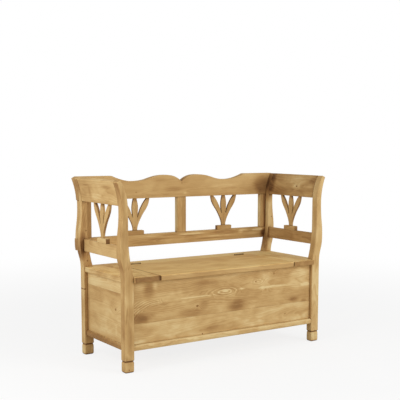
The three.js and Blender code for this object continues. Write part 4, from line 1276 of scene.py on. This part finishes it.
class OBJECT_OT_bench_chest(bpy.types.Operator):
    """Makes the panels and the floor of the chest"""

    bl_idname = "object.bench_chest"
    bl_label = "Chest"

    def execute(self, context):
        for part in ("lower", "upper"):
            for panel, slot in (("front", "panel_pine"), ("back", "inner_pine")):
                node = f"{panel}_panel_{part}"
                place(board(node, x=(-LEG_INNER, LEG_INNER)), node, slot)
            node = f"side_panel_{part}_right"
            place_pair(board(node, y=BETWEEN_POSTS), node, "panel_pine")
        self.floor(context, "floor_board_front", BETWEEN_POSTS[0] + CLEARANCE, 0)
        self.floor(context, "floor_board_rear", BETWEEN_POSTS[1] - CLEARANCE, 1)
        return {"FINISHED"}

    def floor(self, context, node, shoulder, outside):
        """A floor board notched round two posts; outside is 0 where its nosed edge is in front, else 1."""
        box = low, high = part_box(node)
        edge, joint = box[outside][1], box[1 - outside][1]
        notch = LEG_INNER - CLEARANCE
        line = both_sides([(notch, edge), (notch, shoulder), (high[0], shoulder), (high[0], joint)])
        piece = sawn("eased_" + node, line, "Z", low[2], high[2])

        def radius(first, second):
            middle = (first + second) / 2
            open_side = abs(middle.y - edge) < TINY or abs(middle.x) > high[0] - TINY
            level = abs(first.z - second.z) < TINY
            return context.scene.bench_sizes.floor_round if open_side and level else 0.0

        place(ease_edges(piece, radius, segments=5), node, "panel_pine")


class OBJECT_OT_bench_seat(bpy.types.Operator):
    """Makes the seat: two end boards, the strip behind the lid, and the lid"""

    bl_idname = "object.bench_seat"
    bl_label = "Seat"

    def execute(self, context):
        sizes = context.scene.bench_sizes
        self.end_boards(sizes)
        strip = plank("eased_seat_rear_strip", *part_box("seat_rear_strip"))
        cut_out(strip, self.pockets("seat"))
        place(ease_edges(strip, sizes.fine_arris), "seat_rear_strip")
        self.lid(sizes)
        return {"FINISHED"}

    def end_boards(self, sizes):
        node = "seat_end_board_right"
        (near, front, bottom), (edge, back, top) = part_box(node)
        notch = LEG_INNER - CLEARANCE
        shoulders = (BETWEEN_POSTS[0] + CLEARANCE, BETWEEN_POSTS[1] - CLEARANCE)
        line = [(near, front), (notch, front), (notch, shoulders[0]), (edge, shoulders[0]),
                (edge, shoulders[1]), (notch, shoulders[1]), (notch, back), (near, back)]
        piece = sawn("eased_" + node, line, "Z", bottom, top)

        def radius(first, second):
            middle = (first + second) / 2
            outside = middle.x > edge - TINY or middle.y < front + TINY
            if abs(first.z - second.z) < TINY:
                return sizes.post_arris if outside else sizes.fine_arris
            return 0.0

        place_pair(ease_edges(piece, radius), node)

    def pockets(self, part):
        """Cutters for the hinges on one side of the hinge line: the leaf's seat and the knuckles' slot."""
        cutters = []
        for side in ("left", "right"):
            low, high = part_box(f"hinge_leaf_{part}_{side}")
            pin_low, pin_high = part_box(f"hinge_pin_{side}")
            line = (pin_low[1] + pin_high[1]) / 2
            knuckle = high[2] - (pin_low[2] + pin_high[2]) / 2
            leaf = sorted((high[1] if part == "seat" else low[1], line))
            for name, front, back, bottom in (
                    ("leaf_seat", leaf[0], leaf[1], low[2]),
                    ("knuckle_slot", line - knuckle, line + knuckle, high[2] - 2 * knuckle)):
                cutters.append(plank(
                    name, (low[0] - CLEARANCE, front - CLEARANCE, bottom - CLEARANCE),
                    (high[0] + CLEARANCE, back + CLEARANCE, high[2] + OVERRUN)))
        return cutters

    def lid(self, sizes):
        low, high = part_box("seat_lid")
        piece = plank("eased_seat_lid", low, high)
        cut_out(piece, self.pockets("lid"))

        def radius(first, second):
            middle = (first + second) / 2
            front = middle.y < low[1] + TINY
            if abs(first.z - second.z) > TINY:
                return sizes.lid_corner_round if front else 0.0
            if front and middle.z > high[2] - TINY:
                return sizes.lid_front_round
            return sizes.board_arris if front or abs(middle.x) > high[0] - TINY else 0.0

        place(ease_edges(piece, radius, segments=5), "seat_lid", body="lid")


class OBJECT_OT_bench_bearers(bpy.types.Operator):
    """Makes the cross rails and bearers under the seat and the battens under the lid"""

    bl_idname = "object.bench_bearers"
    bl_label = "Bearers and battens"

    def execute(self, context):
        for node in ("seat_cross_rail_right", "seat_end_bearer_right"):
            place_pair(board(node), node, "inner_pine")
        place(board("seat_rear_bearer"), "seat_rear_bearer", "inner_pine")
        place_pair(self.batten(context, "lid_batten_right"), "lid_batten_right", "inner_pine", "lid")
        return {"FINISHED"}

    def batten(self, context, node):
        """A batten with countersunk holes for its two screws."""
        low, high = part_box(node)
        piece = plank("eased_" + node, low, high)
        head, depth, shank, length = BATTEN_SCREW
        grown = (head + CLEARANCE, depth + CLEARANCE, shank + CLEARANCE, length)
        for count in (1, 2):
            cut_out(piece, [drive(turned_screw(*grown), f"lid_batten_screw_right_{count}", (0, 0, 1))])

        def radius(first, second):
            middle = (first + second) / 2
            inside = all(low[k] + TINY < middle[k] < high[k] - TINY for k in (0, 1))
            return 0.0 if inside else context.scene.bench_sizes.fine_arris

        return ease_edges(piece, radius)


def turned_screw(head, depth, shank, length):
    """A plain screw on its axis, with the top of its head at the origin and its tip down Z."""
    start_afresh()
    bpy.ops.mesh.primitive_cylinder_add(
        vertices=SCREW_SIDES, radius=head, depth=SCREW_RIM, location=(0, 0, -SCREW_RIM / 2))
    piece = name_piece("turned_screw")
    radius = head
    for drop, following in (
            (depth - SCREW_RIM, shank),
            (length - depth - SCREW_TIP, shank),
            (SCREW_TIP, shank / SCREW_TAPER)):
        pick(piece, "FACE", lambda face: face.normal.z < -FACING)
        bpy.ops.mesh.extrude_region_move(TRANSFORM_OT_translate={"value": (0, 0, -drop)})
        share = following / radius
        bpy.ops.transform.resize(value=(share, share, 1), center_override=(0, 0, 0))
        bpy.ops.object.mode_set(mode="OBJECT")
        radius = following
    return piece


def slot_head(piece, half):
    """Sinks a slot across the head of a screw."""
    bpy.ops.object.mode_set(mode="EDIT")
    for side in (-half, half):
        bpy.ops.mesh.select_all(action="SELECT")
        bpy.ops.mesh.bisect(plane_co=(0, side, 0), plane_no=(0, 1, 0))
    pick(piece, "FACE", lambda face: face.normal.z > FACING and abs(face.calc_center_median().y) < half)
    bpy.ops.mesh.inset(thickness=half * SLOT_INSET, depth=-half)
    bpy.ops.object.mode_set(mode="OBJECT")


def drive(piece, node, toward, turn=0.0):
    """Moves a screw into the place of its node, its tip along the direction given, its slot turned."""
    low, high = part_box(node)
    at = [a if way > 0 else b if way < 0 else (a + b) / 2 for a, b, way in zip(low, high, toward)]
    aim = Vector((0, 0, -1)).rotation_difference(Vector(toward)).to_matrix().to_4x4()
    start_afresh(piece)
    piece.matrix_world = Matrix.Translation(at) @ aim @ Matrix.Rotation(turn, 4, "Z")
    settle_place()
    return piece


class OBJECT_OT_bench_hardware(bpy.types.Operator):
    """Makes the hinges, their pins and all screws"""

    bl_idname = "object.bench_hardware"
    bl_label = "Hinges and screws"

    def execute(self, context):
        finish = context.scene.bench_finish
        brass = plain_metal("aged brass", finish.brass, BRASS_ROUGHNESS)
        steel = plain_metal("dull steel", finish.steel, STEEL_ROUGHNESS)
        for side in ("left", "right"):
            for part, body in (("leaf_seat", "carcass"), ("leaf_lid", "lid"), ("pin", "carcass")):
                node = f"hinge_{part}_{side}"
                place(self.smooth_copy(node), node, "hinge_brass", body, brass)
        self.screws("lid_batten_screw", BATTEN_SCREW, (0, 0, 1), "lid", steel)
        self.screws("hinge_screw_seat", HINGE_SCREW, (0, 1, 0), "carcass", steel)
        self.screws("hinge_screw_lid", HINGE_SCREW, (0, -1, 0), "lid", steel)
        return {"FINISHED"}

    def screws(self, row, kind, toward, body, steel):
        """Turns one screw with a slotted head, and drives a copy of it into each place of its row."""
        pattern = turned_screw(*kind)
        slot_head(pattern, kind[0] * SLOT_SHARE)
        bpy.ops.object.shade_smooth_by_angle(angle=SHARP_ANGLE)
        for count, end in enumerate(("left_1", "left_2", "right_1", "right_2")):
            node = f"{row}_{end}"
            turn = SLOT_TURN + SLOT_TURN_STEP * count
            piece = drive(copy_of(pattern, "turned_" + node), node, toward, turn)
            place(piece, node, "screw_steel", body, steel)
        bpy.data.objects.remove(pattern)

    def smooth_copy(self, node):
        """A copy of a CAD node's loose triangles, merged and smoothly shaded."""
        piece = copy_of(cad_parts[node], "rolled_" + node)
        bpy.ops.object.mode_set(mode="EDIT")
        bpy.ops.mesh.select_all(action="SELECT")
        bpy.ops.mesh.remove_doubles(threshold=TINY / 2)
        bpy.ops.object.mode_set(mode="OBJECT")
        bpy.ops.object.shade_smooth_by_angle(angle=SHARP_ANGLE)
        return piece


class OBJECT_OT_bench_stage(bpy.types.Operator):
    """Lays the pale floor and sets the lamps, the room light and the camera"""

    bl_idname = "object.bench_stage"
    bl_label = "Studio"

    def execute(self, context):
        stage = context.scene.bench_stage
        self.floor(stage)
        self.room(stage)
        self.lamp("side_lamp", *SIDE_LAMP, stage.side_power)
        self.lamp("front_lamp", *FRONT_LAMP, stage.front_power)
        self.camera(stage)
        context.scene.view_settings.view_transform = "Standard"
        return {"FINISHED"}

    def floor(self, stage):
        """A pale matt floor that keeps the bench's shadow near it and is plain white farther off."""
        start_afresh()
        bpy.ops.mesh.primitive_plane_add(size=FLOOR_SIDE)
        floor = bpy.context.object
        floor.name = "studio_floor"
        w = Wiring(bpy.data.materials.new("pale floor"))
        where = w.node("ShaderNodeTexCoord").outputs["Object"]
        mottle = w.remap(w.noise(where, MOTTLE_CELLS, 3.0), 0.3, 0.7, MOTTLE_TONE, 1.0)
        matt = w.node("ShaderNodeBsdfDiffuse", (w.mix(mottle, (0, 0, 0), stage.floor_colour),))
        share = w.times(w.seen(), w.ease(w.vector("LENGTH", where), *FLOOR_WHITE, 1.0))
        floor.data.materials.append(
            w.end("ShaderNodeOutputMaterial", w.either(share, matt, w.node("ShaderNodeEmission"))))

    def room(self, stage):
        """Even light from all sides, and plain white wherever the room itself is looked at."""
        world = bpy.data.worlds.new("studio room")
        bpy.context.scene.world = world
        w = Wiring(world)
        light = w.node("ShaderNodeBackground", (WHITE, stage.sky_strength))
        w.end("ShaderNodeOutputWorld", w.either(w.seen(), light, w.node("ShaderNodeBackground", (WHITE,))))

    def lamp(self, name, at, size, power):
        data = bpy.data.lights.new(name, "AREA")
        data.shape = "DISK"
        data.size = size
        data.energy = power
        lamp = bpy.data.objects.new(name, data)
        bpy.context.collection.objects.link(lamp)
        toward = Vector(LAMP_AIM) - Vector(at)
        lamp.matrix_world = Matrix.Translation(at) @ toward.to_track_quat("-Z", "Y").to_matrix().to_4x4()

    def camera(self, stage):
        yaw, pitch, roll = stage.camera_yaw, stage.camera_pitch, stage.camera_roll
        level = math.cos(pitch)
        forward = Vector((math.sin(yaw) * level, math.cos(yaw) * level, math.sin(pitch)))
        right = Vector((math.cos(yaw), -math.sin(yaw), 0))
        up = right.cross(forward)
        turned_right = math.cos(roll) * right + math.sin(roll) * up
        turned_up = math.cos(roll) * up - math.sin(roll) * right
        turn = Matrix((turned_right, turned_up, -forward)).transposed()
        data = bpy.data.cameras.new("camera")
        data.lens = stage.camera_lens
        data.shift_x, data.shift_y = stage.camera_shift
        camera = bpy.data.objects.new("camera", data)
        bpy.context.collection.objects.link(camera)
        camera.matrix_world = Matrix.Translation(Vector(stage.camera_place)) @ turn.to_4x4()
        bpy.context.scene.camera = camera


STEPS = (
    OBJECT_OT_bench_posts, OBJECT_OT_bench_back, OBJECT_OT_bench_splats, OBJECT_OT_bench_arms,
    OBJECT_OT_bench_chest, OBJECT_OT_bench_seat, OBJECT_OT_bench_bearers, OBJECT_OT_bench_hardware,
    OBJECT_OT_bench_stage,
)


class VIEW3D_PT_bench(bpy.types.Panel):
    """Lists the steps that build the bench, with their sizes and colours."""

    bl_idname = "VIEW3D_PT_bench"
    bl_label = "Settle bench"
    bl_space_type = "VIEW_3D"
    bl_region_type = "UI"
    bl_category = "Bench"

    def draw(self, context):
        for step in STEPS:
            self.layout.operator(step.bl_idname)
        for group in (context.scene.bench_sizes, context.scene.bench_finish, context.scene.bench_stage):
            box = self.layout.box()
            for key in group.bl_rna.properties.keys():
                if key not in ("rna_type", "name"):
                    box.prop(group, key)


CLASSES = (BenchSizes, BenchFinish, BenchStage, *STEPS, VIEW3D_PT_bench)


def register():
    for kind in CLASSES:
        bpy.utils.register_class(kind)
    bpy.types.Scene.bench_sizes = bpy.props.PointerProperty(type=BenchSizes)
    bpy.types.Scene.bench_finish = bpy.props.PointerProperty(type=BenchFinish)
    bpy.types.Scene.bench_stage = bpy.props.PointerProperty(type=BenchStage)


def unregister():
    del bpy.types.Scene.bench_sizes
    del bpy.types.Scene.bench_finish
    del bpy.types.Scene.bench_stage
    for kind in reversed(CLASSES):
        bpy.utils.unregister_class(kind)


def main():
    register()
    bpy.ops.object.bench_posts()
    bpy.ops.object.bench_back()
    bpy.ops.object.bench_splats()
    bpy.ops.object.bench_arms()
    bpy.ops.object.bench_chest()
    bpy.ops.object.bench_seat()
    bpy.ops.object.bench_bearers()
    bpy.ops.object.bench_hardware()
    bpy.ops.object.bench_stage()


if __name__ == "__main__":
    main()
